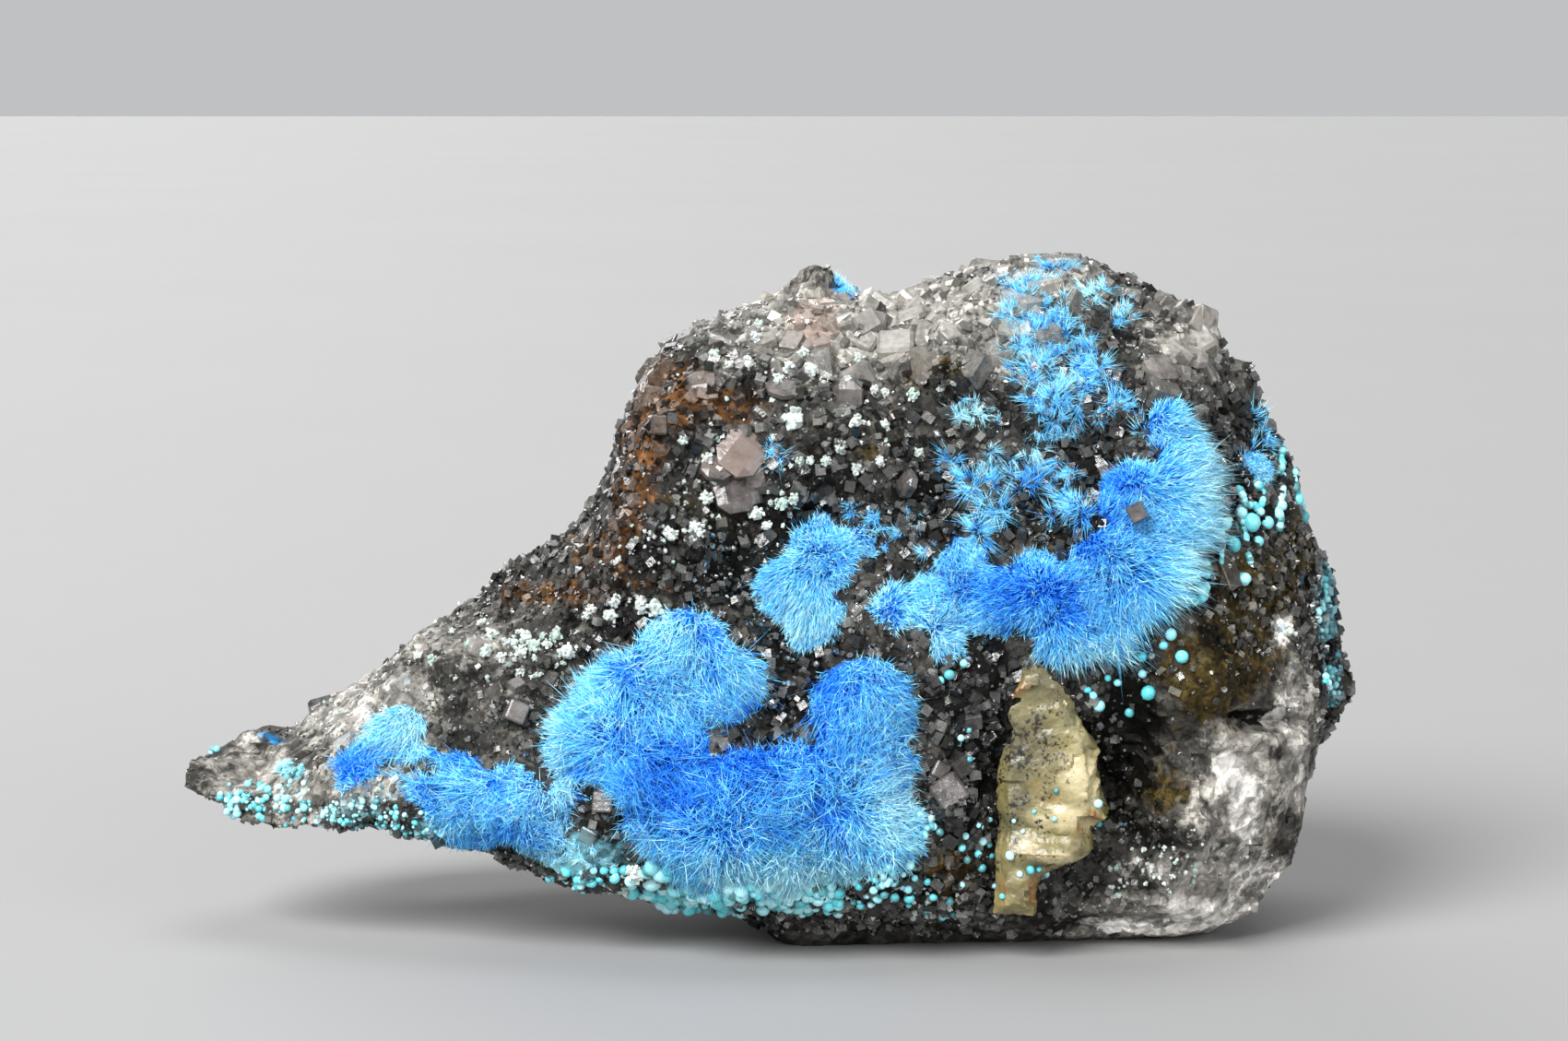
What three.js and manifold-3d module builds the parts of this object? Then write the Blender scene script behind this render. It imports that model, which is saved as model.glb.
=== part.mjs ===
// Blue needle mineral on a drusy quartz matrix: a hand specimen of rock whose face wears mats of fine blue
// needles, strings of turquoise beads and one straw-yellow blade crystal.
// Millimetres, +X to the right along the specimen, +Y away from its face, +Z up, and the origin on the
// resting plane under the middle of the specimen.

import * as THREE from "three";
import { ImprovedNoise } from "three/addons/math/ImprovedNoise.js";
import { mergeVertices } from "three/addons/utils/BufferGeometryUtils.js";
import Module from "manifold-3d";

const wasm = await Module();
wasm.setup();

// Driving dimensions
const TAIL_X = -35; // tip of the tail
const BUMP_X = 36; // tip of the bump behind the right end
const LENGTH = BUMP_X - TAIL_X;
const HEAD_X = 33.2; // right end of the main mass, in front of the bump
const FACE_LEAN = 3; // how far the face leans back from its middle to its upper edge
const SECTION_POWER = 2.6; // 2 is an ellipse, more is boxier
const FACE_FINENESS = 0.4; // 0 spaces a section's points evenly, more gathers them on the face
const SEAM = 0.35; // gap between the rock and whatever grew on it
const DOME_HEIGHT = 0.92; // a burst of needles is a little flatter than it is wide
const DOME_WIDTH = 1.08;
const SMALL_REACH = 2.2; // a burst up to this size has fewer faces
const NEEDLE_SINK = 0.22; // how deep a spray's centre lies below the rock face, as a share of its reach
const BROAD_LUMPS = { height: 2.3, size: 7.3 }; // the rock's broad lumps
const KNOBS = { height: 1.5, size: 2.9 }; // the knobs on them
const EDGE_CALM = 0.75; // how much of the lumps is taken off along the outline's edges
const FRACTURE_BITE = 0.92; // 1 makes a broken face quite flat
const TONGUE_BEVEL = 0.9; // worn edges of the tongues of rock
const CUBE_SIDE = 1.6; // a blocky crystal's side, as a share of its size
const CUBE_TIPS = [0.5, 0.4]; // radians that a blocky crystal is tipped
const SLIVER = 0.12; // faces thinner than this are smoothed away
const BEAD_RISE = 0.15; // how far a bead's centre stands off the rock face, as a share of its radius

// Upper and lower edge of the main mass along its length, as [x, height]
const RIDGE = [
  [-34.9, 10.0], [-33.1, 10.6], [-29.2, 10.4], [-26.6, 12.6], [-22.2, 16.5], [-18.3, 19.2],
  [-15.0, 20.8], [-12.2, 22.6], [-10.0, 25.2], [-8.8, 28.8], [-8.2, 33.4], [-6.9, 34.4], [-3.6, 36.5],
  [-0.6, 37.5], [2.8, 37.7], [6.1, 37.6], [9.4, 38.1], [12.2, 39.5], [15.6, 40.3], [18.3, 40.3],
  [20.8, 39.6], [23.6, 37.8], [26.4, 36.4], [28.6, 33.0], [30.4, 30.6], [31.7, 28.2], [32.6, 25.4],
  [33.2, 22.0],
];
const KEEL = [
  [-34.9, 9.2], [-33.1, 8.2], [-31.7, 7.2], [-28.9, 6.8], [-21.7, 6.6], [-18.3, 6.0], [-15.0, 5.0],
  [-12.8, 4.2], [-7.2, 3.0], [-2.8, 1.6], [1.1, -0.4], [5.0, -1.6], [16.7, -2.6], [20.6, -2.2],
  [25.0, -1.2], [28.3, 0.9], [30.3, 3.1], [32.1, 6.1], [32.8, 8.9], [33.2, 13.0],
];
// How far the main mass stands in front of and behind its middle plane, as [x, depth]
const FRONT_DEPTH = [
  [-34.9, 1.6], [-31, 4.5], [-24, 7.5], [-15, 10.5], [-5, 12.5], [10, 13.5], [24, 12.5], [30, 8.5],
  [33.2, 3.5],
];
const BACK_DEPTH = [
  [-34.9, 1.6], [-31, 4.5], [-24, 7], [-15, 9.5], [-5, 11.5], [10, 12.5], [24, 12], [30, 9], [33.2, 4],
];

// Upper and lower edge of the rear mass, which shows over the tail
const REAR_RIDGE = [
  [-22, 12], [-19.4, 17.2], [-15.0, 21.8], [-12.8, 23.2], [-10.6, 25.6], [-9.0, 27.4], [-5, 31.0],
  [-0.6, 34.4], [3.1, 35.6], [6.4, 34.6], [12, 32], [20, 30], [27, 26], [31, 23], [33.2, 20.2],
  [34.0, 17.6], [34.6, 14.6],
];
const REAR_KEEL = [
  [-22, 9], [-15, 6], [-5, 2.5], [8, 0.5], [20, 0.5], [28, 4], [32, 8.5], [33.8, 11.6], [34.6, 13.8],
];
const REAR_MIDDLE = 7.5; // the rear mass's middle plane lies this far behind the main one
const REAR_DEPTH = [[-22, 2], [-15, 6], [-5, 8.5], [3, 9.5], [20, 9], [28, 7], [32, 4.2], [34.6, 1.5]];
const REAR_END = 34.6;
const REAR_LEAN = -1.5;

// Broken tongues of the rear mass that show past the main one: outline as [x, z], and first and last Y
const TONGUES = [
  {
    outline: [[-5.0, 32.0], [-2.6, 36.2], [0.6, 38.0], [3.0, 39.5], [3.9, 38.9], [6.3, 36.3], [7.6, 32.0]],
    from: 4.4,
    to: 10.8,
  }, // the spur behind the crest
  {
    outline: [
      [29.0, 19.0], [31.6, 22.0], [33.6, 22.4], [34.5, 21.2], [34.8, 18.4], [35.3, 16.0], [BUMP_X, 13.8],
      [35.2, 11.8], [33.6, 10.2], [29.0, 9.0],
    ],
    from: 2.6,
    to: 11.0,
  }, // the bump behind the right end
];

// Swells and hollows of the face: where, how wide and tall, and how far they rise (+) or sink (-)
const FACE_RELIEF = [
  { x: 1.5, z: 24.5, wide: 8, tall: 6.5, rise: -3.4 }, // dark hollow in the middle
  { x: 15.5, z: 27.5, wide: 5, tall: 3.5, rise: -2.4 }, // hollow under the upper spray
  { x: 23.5, z: 24.0, wide: 3.5, tall: 7.5, rise: 2.6 }, // rib that carries the right mat
  { x: -2.0, z: 9.5, wide: 11, tall: 6, rise: 2.0 }, // swell that carries the lower mat
  { x: 17.5, z: 9.0, wide: 5.5, tall: 7.5, rise: -4.2 }, // recess round the yellow blade
  { x: 29.5, z: 17.0, wide: 4, tall: 5, rise: 1.6 }, // brown shoulder at the right
  { x: -7.0, z: 27.0, wide: 2.6, tall: 6, rise: 1.8 }, // rusty rib along the left edge
];

// Broken faces of the rock: a point on each and its outward normal
const FRACTURES = [
  { at: [27.5, -10.2, 8], out: [0.5, -0.74, -0.45] }, // pale face, lower right
  { at: [30.6, -4, 30], out: [0.8, -0.45, 0.4] }, // right shoulder
  { at: [26, 11.5, 14], out: [0.66, 0.74, 0.12] }, // back of the right end
  { at: [12, -8.5, 1.4], out: [0.06, -0.5, -0.86] }, // under the face, above the resting plane
];
const REAR_FRACTURES = [
  { at: [8, 15.4, 18], out: [0.08, 0.98, 0.2] }, // back
  { at: [-12, 10.5, 14], out: [-0.45, 0.87, 0.2] }, // back of the tail
  { at: [26, 13.0, 14], out: [0.5, 0.86, -0.1] }, // back of the right end
  { at: [2, 12.5, 4.5], out: [-0.1, 0.62, -0.78] }, // back, low
];

// Mats and sprays of blue needles: each is a run of overlapping bursts, as [x, z, reach of the needles]
const NEEDLE_MATS = {
  blue_mat_lower: [
    [-5.0, 17.8, 3.3], [-8.2, 15.4, 3.2], [-10.6, 13.0, 2.7], [-2.0, 16.6, 2.4], [-6.2, 12.4, 3.5],
    [-5.2, 8.8, 3.5], [-1.6, 9.6, 3.6], [-3.6, 5.9, 2.7], [0.6, 6.5, 3.0], [2.0, 10.2, 3.4],
    [5.4, 15.2, 3.1], [5.6, 11.4, 3.4], [6.4, 8.2, 2.8], [3.6, 7.2, 2.8],
  ],
  blue_mat_left: [
    [-21.8, 12.6, 2.1], [-24.2, 10.8, 1.9], [-20.4, 11.0, 2.0], [-18.2, 9.6, 2.4], [-15.2, 8.9, 2.5],
    [-17.4, 7.4, 2.0], [-13.4, 7.0, 2.0], [-11.8, 9.4, 1.7],
  ],
  blue_mat_right: [
    [24.2, 30.6, 2.3], [25.0, 28.0, 2.8], [24.6, 25.0, 3.1], [23.2, 21.8, 3.3], [20.6, 19.4, 3.1],
    [17.6, 18.6, 2.5], [20.0, 22.8, 3.1], [21.2, 26.8, 2.5], [15.6, 21.8, 2.4], [12.8, 21.0, 2.3],
    [10.0, 21.0, 2.1], [7.4, 20.8, 1.7], [11.2, 23.4, 1.7], [10.4, 18.9, 1.4],
  ],
  blue_tuft_centre: [[1.4, 21.4, 2.4], [3.0, 23.0, 2.4], [2.6, 19.9, 2.2], [5.2, 24.3, 1.4]],
  blue_spray_top: [
    [15.4, 37.0, 1.6], [16.0, 35.0, 1.8], [17.8, 36.6, 1.4], [19.8, 37.0, 1.4], [21.4, 35.8, 1.3],
    [16.8, 32.8, 1.8], [18.4, 31.2, 1.7], [19.3, 33.8, 1.6], [20.6, 32.0, 1.4],
  ],
  blue_spray_middle: [[11.2, 28.4, 1.3], [12.6, 27.2, 1.4], [14.4, 27.2, 1.4], [16.3, 27.6, 1.5]],
  blue_tuft_crest: [[17.2, 39.2, 1.4]],
  blue_tuft_edge: [[29.0, 28.2, 1.5], [29.6, 29.8, 1.3]],
  blue_tuft_small: [[0.6, 29.0, 1.0]],
};
// The mat on the spur's right slope, as [x, y, reach of the needles]
const SPUR_MAT = {
  blue_mat_spur: [
    [4.3, 7.4, 0.9], [4.9, 7.4, 1.0], [5.6, 7.5, 1.1], [6.3, 7.8, 1.2], [7.0, 8.6, 1.4], [7.8, 9.6, 1.5],
    [8.6, 10.6, 1.6],
  ],
};

// Strings of turquoise beads: bead positions on the face, as [x, z, radius]
const BEAD_STRINGS = {
  turquoise_beads_right: [
    [30.4, 27.2, 1.0], [30.2, 26.2, 1.0], [29.8, 25.2, 1.0], [29.4, 24.2, 1.0], [29.0, 23.2, 1.0],
    [28.5, 22.2, 1.0], [27.9, 21.3, 1.0],
  ],
  turquoise_crust_lower: [
    [-11.6, 5.4, 1.1], [-10.1, 4.8, 1.1], [-8.6, 4.5, 1.2], [-7.1, 4.2, 1.1], [-5.6, 3.5, 1.1],
    [-4.1, 2.9, 1.1], [-2.6, 2.7, 1.2], [-1.1, 2.7, 1.1], [0.4, 2.9, 1.1], [1.9, 3.1, 1.1],
    [3.4, 3.6, 1.1],
  ],
  turquoise_crust_tail: [
    [-31.6, 8.8, 0.9], [-30.4, 8.7, 0.9], [-29.2, 8.5, 1.0], [-28.0, 8.5, 1.0], [-26.8, 8.4, 1.0],
    [-25.6, 8.3, 1.0],
  ],
  turquoise_crust_bump: [
    [33.9, 20.4, 0.8], [34.0, 19.3, 0.9], [34.1, 18.2, 0.9], [34.3, 17.1, 0.9], [34.5, 16.0, 0.9],
  ],
};

// The yellow blade's outline as [x, z], with its broken right flank and the narrow foot under it
const BLADE_OUTLINE = [
  [14.3, 2.9], [16.8, 2.7], [17.0, 5.0], [18.7, 5.7], [20.1, 6.9], [20.0, 7.8], [21.0, 8.5],
  [20.4, 10.2], [20.3, 12.6], [19.4, 14.4], [18.8, 16.8], [17.2, 17.9], [15.7, 17.5], [14.9, 14.6],
  [14.4, 10.8], [14.5, 6.8],
];
const BLADE_MIDDLE = 17.4; // where the blade's face turns about
const BLADE_THICKNESS = 9;
const BLADE_FRONT = -12.9; // its face, in front of the middle plane
const BLADE_TILT = -0.1; // radians that its face turns, which brings its broken right flank forward
const BLADE_BEVEL = 0.7;

// Fused crystals: blocks along the upper edge, points over the face, a few large ones, as [x, z, size]
const LARGE_CRYSTALS = [
  [-1.7, 28.8, 2.4], [8.9, 27.4, 1.1], [8.6, 24.0, 0.9], [11.1, 8.9, 1.5], [21.2, 35.0, 1.4],
  [23.0, 33.6, 1.3], [6.0, 36.4, 1.7], [2.8, 34.6, 1.6], [10.6, 35.0, 1.6], [24.6, 36.2, 1.6],
  [28.0, 33.2, 1.4], [-10.6, 18.8, 1.1], [-14.6, 14.6, 1.5], [-11.6, 7.6, 1.2],
];
const EDGE_BLOCK_COUNT = 20;
const EDGE_BLOCK_SIZE = [0.6, 1.1];
const EDGE_BLOCK_SPAN = [-8, 28]; // where along X they stand
const FACE_POINT_COUNT = 28;
const FACE_POINT_SIZE = [0.7, 1.3];
const FACE_POINT_SPAN = { x: [-26, 29], z: [5, 38] };
const FACE_POINT_TRIES = 900;
const STEEPEST_FACING = -0.35; // a crystal point stands only where the rock faces forwards at least this much
const BLADE_SURROUND = { x: [12.4, 22], z: 18 }; // no crystal points here
const GROWTH_MARGIN = 0.5; // bare rock left round the needles and beads
const RANDOM_SEED = 20;

// Finishes
const finish = (color, roughness) => new THREE.MeshStandardMaterial({ color, roughness, metalness: 0 });
const rockFinish = finish(0x6e6a62, 0.75);
const needleFinish = finish(0x3c9cf2, 0.6);
const beadFinish = finish(0x86dfe6, 0.5);
const bladeFinish = finish(0xb8ab74, 0.45);

// Value at x of a line given as [x, value] points
function along(line, x) {
  const last = line.length - 1;
  if (x <= line[0][0]) return line[0][1];
  if (x >= line[last][0]) return line[last][1];
  const right = line.findIndex((point) => point[0] > x);
  const [x0, v0] = line[right - 1];
  const [x1, v1] = line[right];
  return v0 + ((v1 - v0) * (x - x0)) / (x1 - x0);
}

// Repeatable random numbers from 0 to 1
function randomFrom(seed) {
  let draw = seed;
  return () => THREE.MathUtils.seededRandom(draw++ * 7919 + seed);
}

const perlin = new ImprovedNoise();
// Lumpiness of the rock at a point: broad lumps and smaller knobs
function lumps(p) {
  const wave = ({ height, size }, shift) => height * perlin.noise(p.x / size + shift, p.y / size, p.z / size);
  return wave(BROAD_LUMPS, 11) + wave(KNOBS, 5);
}

// Sum of the swells and hollows of the face at a place on it
function faceRelief(x, z) {
  const bell = (f) => f.rise * Math.exp(-(((x - f.x) / f.wide) ** 2) - ((z - f.z) / f.tall) ** 2);
  return FACE_RELIEF.reduce((sum, feature) => sum + bell(feature), 0);
}

// Presses a point that lies beyond a broken face back onto it
function flatten(p, fractures) {
  for (const { at, out } of fractures) {
    const normal = new THREE.Vector3(...out).normalize();
    const beyond = new THREE.Vector3(...at).sub(p).dot(normal);
    if (beyond < 0) p.addScaledVector(normal, beyond * FRACTURE_BITE);
  }
  return p;
}

// A closed mass of rock: rings of a boxy section, one at each station along X
function rockMass({ from, to, stations, ring, ridge, keel, front, back, middle, lean, shape }) {
  const positions = [];
  const section = (x, turn) => {
    const high = along(ridge, x);
    const low = along(keel, x);
    const corner = (v) => Math.sign(v) * Math.abs(v) ** (2 / SECTION_POWER);
    const forward = corner(Math.cos(turn));
    const upward = corner(Math.sin(turn));
    const depth = along(forward > 0 ? front : back, x);
    const z = (high + low) / 2 + ((high - low) / 2) * upward;
    const y = middle - depth * forward + lean * upward;
    return shape(new THREE.Vector3(x, y, z), forward, upward);
  };
  for (let i = 0; i <= stations; i++) {
    const x = from + ((to - from) * i) / stations;
    for (let j = 0; j < ring; j++) {
      const turn = (2 * Math.PI * (j + (i % 2) / 2)) / ring;
      positions.push(...section(x, turn - FACE_FINENESS * Math.sin(turn)).toArray());
    }
  }
  const index = [];
  for (let i = 0; i < stations; i++) {
    for (let j = 0; j < ring; j++) {
      const next = (j + 1) % ring;
      const [a, b, c, d] = [i * ring + j, i * ring + next, (i + 1) * ring + j, (i + 1) * ring + next];
      if (i % 2) index.push(a, c, d, a, d, b);
      else index.push(a, c, b, b, c, d);
    }
  }
  const capAt = (i) => {
    const sum = new THREE.Vector3();
    for (let j = 0; j < ring; j++) sum.add(new THREE.Vector3().fromArray(positions, (i * ring + j) * 3));
    positions.push(...sum.divideScalar(ring).toArray());
    return positions.length / 3 - 1;
  };
  const tail = capAt(0);
  const head = capAt(stations);
  for (let j = 0; j < ring; j++) {
    const next = (j + 1) % ring;
    index.push(tail, j, next, head, stations * ring + next, stations * ring + j);
  }
  const geometry = new THREE.BufferGeometry();
  geometry.setAttribute("position", new THREE.Float32BufferAttribute(positions, 3));
  geometry.setIndex(index);
  geometry.computeVertexNormals();
  return geometry;
}

// The same surface pushed outwards everywhere
function swollen(geometry, amount) {
  const grown = geometry.clone();
  const position = grown.attributes.position;
  const normal = geometry.attributes.normal;
  for (let i = 0; i < position.count; i++) {
    const p = new THREE.Vector3().fromBufferAttribute(position, i);
    p.addScaledVector(new THREE.Vector3().fromBufferAttribute(normal, i), amount);
    position.setXYZ(i, p.x, p.y, p.z);
  }
  return grown;
}

// three.js geometry to a solid and back
function solidOf(geometry) {
  const bare = geometry.index ? geometry.toNonIndexed() : geometry.clone();
  bare.deleteAttribute("normal");
  bare.deleteAttribute("uv");
  const merged = mergeVertices(bare, 1e-4);
  const vertProperties = new Float32Array(merged.attributes.position.array);
  const triVerts = new Uint32Array(merged.index.array);
  return new wasm.Manifold(new wasm.Mesh({ numProp: 3, vertProperties, triVerts }));
}

function geometryOf(solid) {
  const mesh = solid.getMesh();
  const geometry = new THREE.BufferGeometry();
  geometry.setAttribute("position", new THREE.Float32BufferAttribute(mesh.vertProperties, 3));
  geometry.setIndex(new THREE.BufferAttribute(mesh.triVerts, 1));
  geometry.computeVertexNormals();
  return geometry;
}

const joined = (solids) => solids.reduce((whole, solid) => whole.add(solid));

// The largest body of a cut solid, without the slivers that cutting leaves
function largestBody(solid) {
  return solid.simplify(SLIVER).decompose().sort((a, b) => b.volume() - a.volume())[0];
}

// Main mass, with its relief and broken faces
const mainMass = rockMass({
  from: TAIL_X,
  to: HEAD_X,
  stations: 36,
  ring: 32,
  ridge: RIDGE,
  keel: KEEL,
  front: FRONT_DEPTH,
  back: BACK_DEPTH,
  middle: 0,
  lean: FACE_LEAN,
  shape: (p, forward, upward) => {
    const facing = THREE.MathUtils.smoothstep(forward, 0.05, 0.7);
    p.y -= faceRelief(p.x, p.z) * facing;
    const outwards = new THREE.Vector3(0, -forward, upward).normalize();
    const onEdge = Math.abs(upward) ** 8; // the outline stays where the edge lines put it
    p.addScaledVector(outwards, lumps(p) * (1 - EDGE_CALM * onEdge));
    return flatten(p, FRACTURES);
  },
});

// Rear mass: the slope behind the tail and the back
const rearMass = rockMass({
  from: REAR_RIDGE[0][0],
  to: REAR_END,
  stations: 22,
  ring: 14,
  ridge: REAR_RIDGE,
  keel: REAR_KEEL,
  front: REAR_DEPTH,
  back: REAR_DEPTH,
  middle: REAR_MIDDLE,
  lean: REAR_LEAN,
  shape: (p, forward, upward) => {
    const outwards = new THREE.Vector3(0, -forward, upward).normalize();
    return flatten(p.addScaledVector(outwards, lumps(p)), REAR_FRACTURES);
  },
});

// A tongue of rock: its outline drawn out along Y with worn edges, grown on all sides by an amount
function tongue({ outline, from, to }, grow) {
  const shape = new THREE.Shape(outline.map(([x, z]) => new THREE.Vector2(x, z)));
  const slab = new THREE.ExtrudeGeometry(shape, {
    depth: to - from - 2 * TONGUE_BEVEL + 2 * grow,
    bevelSize: TONGUE_BEVEL,
    bevelOffset: grow - TONGUE_BEVEL,
    bevelThickness: TONGUE_BEVEL,
    bevelSegments: 1,
  });
  return solidOf(slab.rotateX(Math.PI / 2).translate(0, to - TONGUE_BEVEL + grow, 0));
}

// The whole rock, grown on all sides by an amount
function rockGrownBy(grow) {
  const masses = [mainMass, rearMass].map((mass) => solidOf(swollen(mass, grow)));
  return joined([...masses, ...TONGUES.map((each) => tongue(each, grow))]);
}

const groundBlock = solidOf(new THREE.BoxGeometry(3 * LENGTH, 3 * LENGTH, 20).translate(0, 0, -10));
const bareRock = rockGrownBy(0).subtract(groundBlock);
const clearance = rockGrownBy(SEAM).simplify(SEAM / 3);
const bareMesh = new THREE.Mesh(geometryOf(bareRock));
bareMesh.updateMatrixWorld();

// First point of the rock that a line meets, with the rock's normal there
const ray = new THREE.Raycaster();
function firstHit(start, direction) {
  ray.set(start, direction);
  const hit = ray.intersectObject(bareMesh)[0];
  return hit && { point: hit.point, normal: hit.face.normal.clone() };
}

// The rock seen from in front at x, z, and from above at x, y
const onRock = (x, z) => firstHit(new THREE.Vector3(x, -LENGTH, z), new THREE.Vector3(0, 1, 0));
const onTop = (x, y) => firstHit(new THREE.Vector3(x, y, LENGTH), new THREE.Vector3(0, 0, -1));

// A closed shape set on the rock with its own +Y along the rock's normal, turned about it
function planted(geometry, { point, normal }, turn, sink) {
  const toNormal = new THREE.Quaternion().setFromUnitVectors(new THREE.Vector3(0, 1, 0), normal);
  geometry.rotateY(turn).applyQuaternion(toNormal);
  return geometry.translate(...point.clone().addScaledVector(normal, -sink).toArray());
}

// Quartz point: a six-sided prism with a pyramid on it, standing on y = 0
function quartzPoint(size) {
  const profile = [[0, -0.6], [0.62, -0.6], [0.62, 0.55], [0, 1.25]];
  return new THREE.LatheGeometry(profile.map(([r, h]) => new THREE.Vector2(r * size, h * size)), 6);
}

// Blocky crystal: a cube tipped towards one corner
function block(size) {
  const side = CUBE_SIDE * size;
  return new THREE.BoxGeometry(side, side, side).rotateX(CUBE_TIPS[0]).rotateZ(CUBE_TIPS[1]);
}

const random = randomFrom(RANDOM_SEED);
const between = (low, high) => low + (high - low) * random();

// True where blue needles or beads grow, so that fused crystals stay out of their way
const growths = [...Object.values(NEEDLE_MATS), ...Object.values(BEAD_STRINGS)].flat();
function overgrown(x, z, size) {
  return growths.some(([gx, gz, reach]) => Math.hypot(x - gx, z - gz) < reach + size + GROWTH_MARGIN);
}
const byBlade = (x, z) => x > BLADE_SURROUND.x[0] && x < BLADE_SURROUND.x[1] && z < BLADE_SURROUND.z;

function largeCrystals() {
  const clear = LARGE_CRYSTALS.filter(([x, z, size]) => !overgrown(x, z, 0.6 * size));
  return clear.map(([x, z, size]) => planted(block(size), onRock(x, z), between(0, 3), 0.15 * size));
}

function edgeBlocks() {
  const made = [];
  const [start, end] = EDGE_BLOCK_SPAN;
  for (let i = 0; i < EDGE_BLOCK_COUNT; i++) {
    const x = start + ((end - start) * (i + 0.5)) / EDGE_BLOCK_COUNT + between(-0.4, 0.4);
    const spot = onTop(x, FACE_LEAN + between(-1.6, 0.6));
    const size = between(...EDGE_BLOCK_SIZE);
    if (!overgrown(x, spot.point.z, size)) made.push(planted(block(size), spot, between(0, 3), 0.6 * size));
  }
  return made;
}

function facePoints() {
  const made = [];
  for (let tries = 0; made.length < FACE_POINT_COUNT && tries < FACE_POINT_TRIES; tries++) {
    const x = between(...FACE_POINT_SPAN.x);
    const z = between(...FACE_POINT_SPAN.z);
    const size = between(...FACE_POINT_SIZE);
    const spot = onRock(x, z);
    if (!spot || spot.normal.y > STEEPEST_FACING || overgrown(x, z, size) || byBlade(x, z)) continue;
    made.push(planted(quartzPoint(size), spot, between(0, 1), 0.1));
  }
  return made;
}

function matrix() {
  const crystals = [...largeCrystals(), ...edgeBlocks(), ...facePoints()].map(solidOf);
  return largestBody(bareRock.add(joined(crystals)).subtract(groundBlock));
}

// A mat of needles as the closed form that their tips reach, its bursts found on the rock by a view of it
function needleMat(bursts, inView) {
  const domes = bursts.map(([first, second, reach]) => {
    const large = reach > SMALL_REACH;
    const ball = large ? new THREE.IcosahedronGeometry(reach, 1) : new THREE.DodecahedronGeometry(reach);
    const dome = ball.scale(DOME_WIDTH, DOME_HEIGHT, DOME_WIDTH);
    return solidOf(planted(dome, inView(first, second), first + second, NEEDLE_SINK * reach));
  });
  return joined(domes);
}

function beadString(beads) {
  const balls = beads.map(([x, z, radius]) =>
    solidOf(planted(new THREE.DodecahedronGeometry(radius), onRock(x, z), x + z, -BEAD_RISE * radius)),
  );
  return joined(balls);
}

// The blade: its outline with bevelled edges, turned a little about its middle
function yellowBlade() {
  const shape = new THREE.Shape(BLADE_OUTLINE.map(([x, z]) => new THREE.Vector2(x, z)));
  const blade = new THREE.ExtrudeGeometry(shape, {
    depth: BLADE_THICKNESS,
    bevelSize: BLADE_BEVEL,
    bevelOffset: -BLADE_BEVEL,
    bevelThickness: BLADE_BEVEL,
    bevelSegments: 1,
  });
  blade.rotateX(Math.PI / 2).translate(-BLADE_MIDDLE, BLADE_FRONT + BLADE_THICKNESS, 0);
  return solidOf(blade.rotateZ(BLADE_TILT).translate(BLADE_MIDDLE, 0, 0));
}

const specimen = new THREE.Group();

function addNode(name, solid, material) {
  const node = new THREE.Mesh(geometryOf(solid), material);
  node.name = name;
  specimen.add(node);
  return solid;
}

const rock = addNode("matrix", matrix(), rockFinish);
const taken = [rock];
// What grew on the rock: kept clear of it and of what is already there
function addGrowth(name, solid, material) {
  const fitted = taken.slice(1).reduce((rest, other) => rest.subtract(other), solid.subtract(clearance));
  taken.push(addNode(name, largestBody(fitted), material));
}

addGrowth("yellow_blade", yellowBlade(), bladeFinish);
for (const [name, bursts] of Object.entries(NEEDLE_MATS)) {
  addGrowth(name, needleMat(bursts, onRock), needleFinish);
}
for (const [name, bursts] of Object.entries(SPUR_MAT)) {
  addGrowth(name, needleMat(bursts, onTop), needleFinish);
}
for (const [name, beads] of Object.entries(BEAD_STRINGS)) addGrowth(name, beadString(beads), beadFinish);

// The origin goes under the middle of the whole specimen
const box = new THREE.Box3().setFromObject(specimen);
specimen.position.set(-(box.min.x + box.max.x) / 2, -(box.min.y + box.max.y) / 2, -box.min.z);

export default specimen;
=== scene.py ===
"""Dresses a blue needle mineral specimen: rock with its druse, needles, beads and a yellow blade."""

import math
from collections import namedtuple
from functools import lru_cache

import bpy
import numpy as np
from bpy.props import FloatProperty, FloatVectorProperty, IntProperty, PointerProperty
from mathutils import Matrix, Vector, noise
from mathutils.bvhtree import BVHTree


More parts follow.
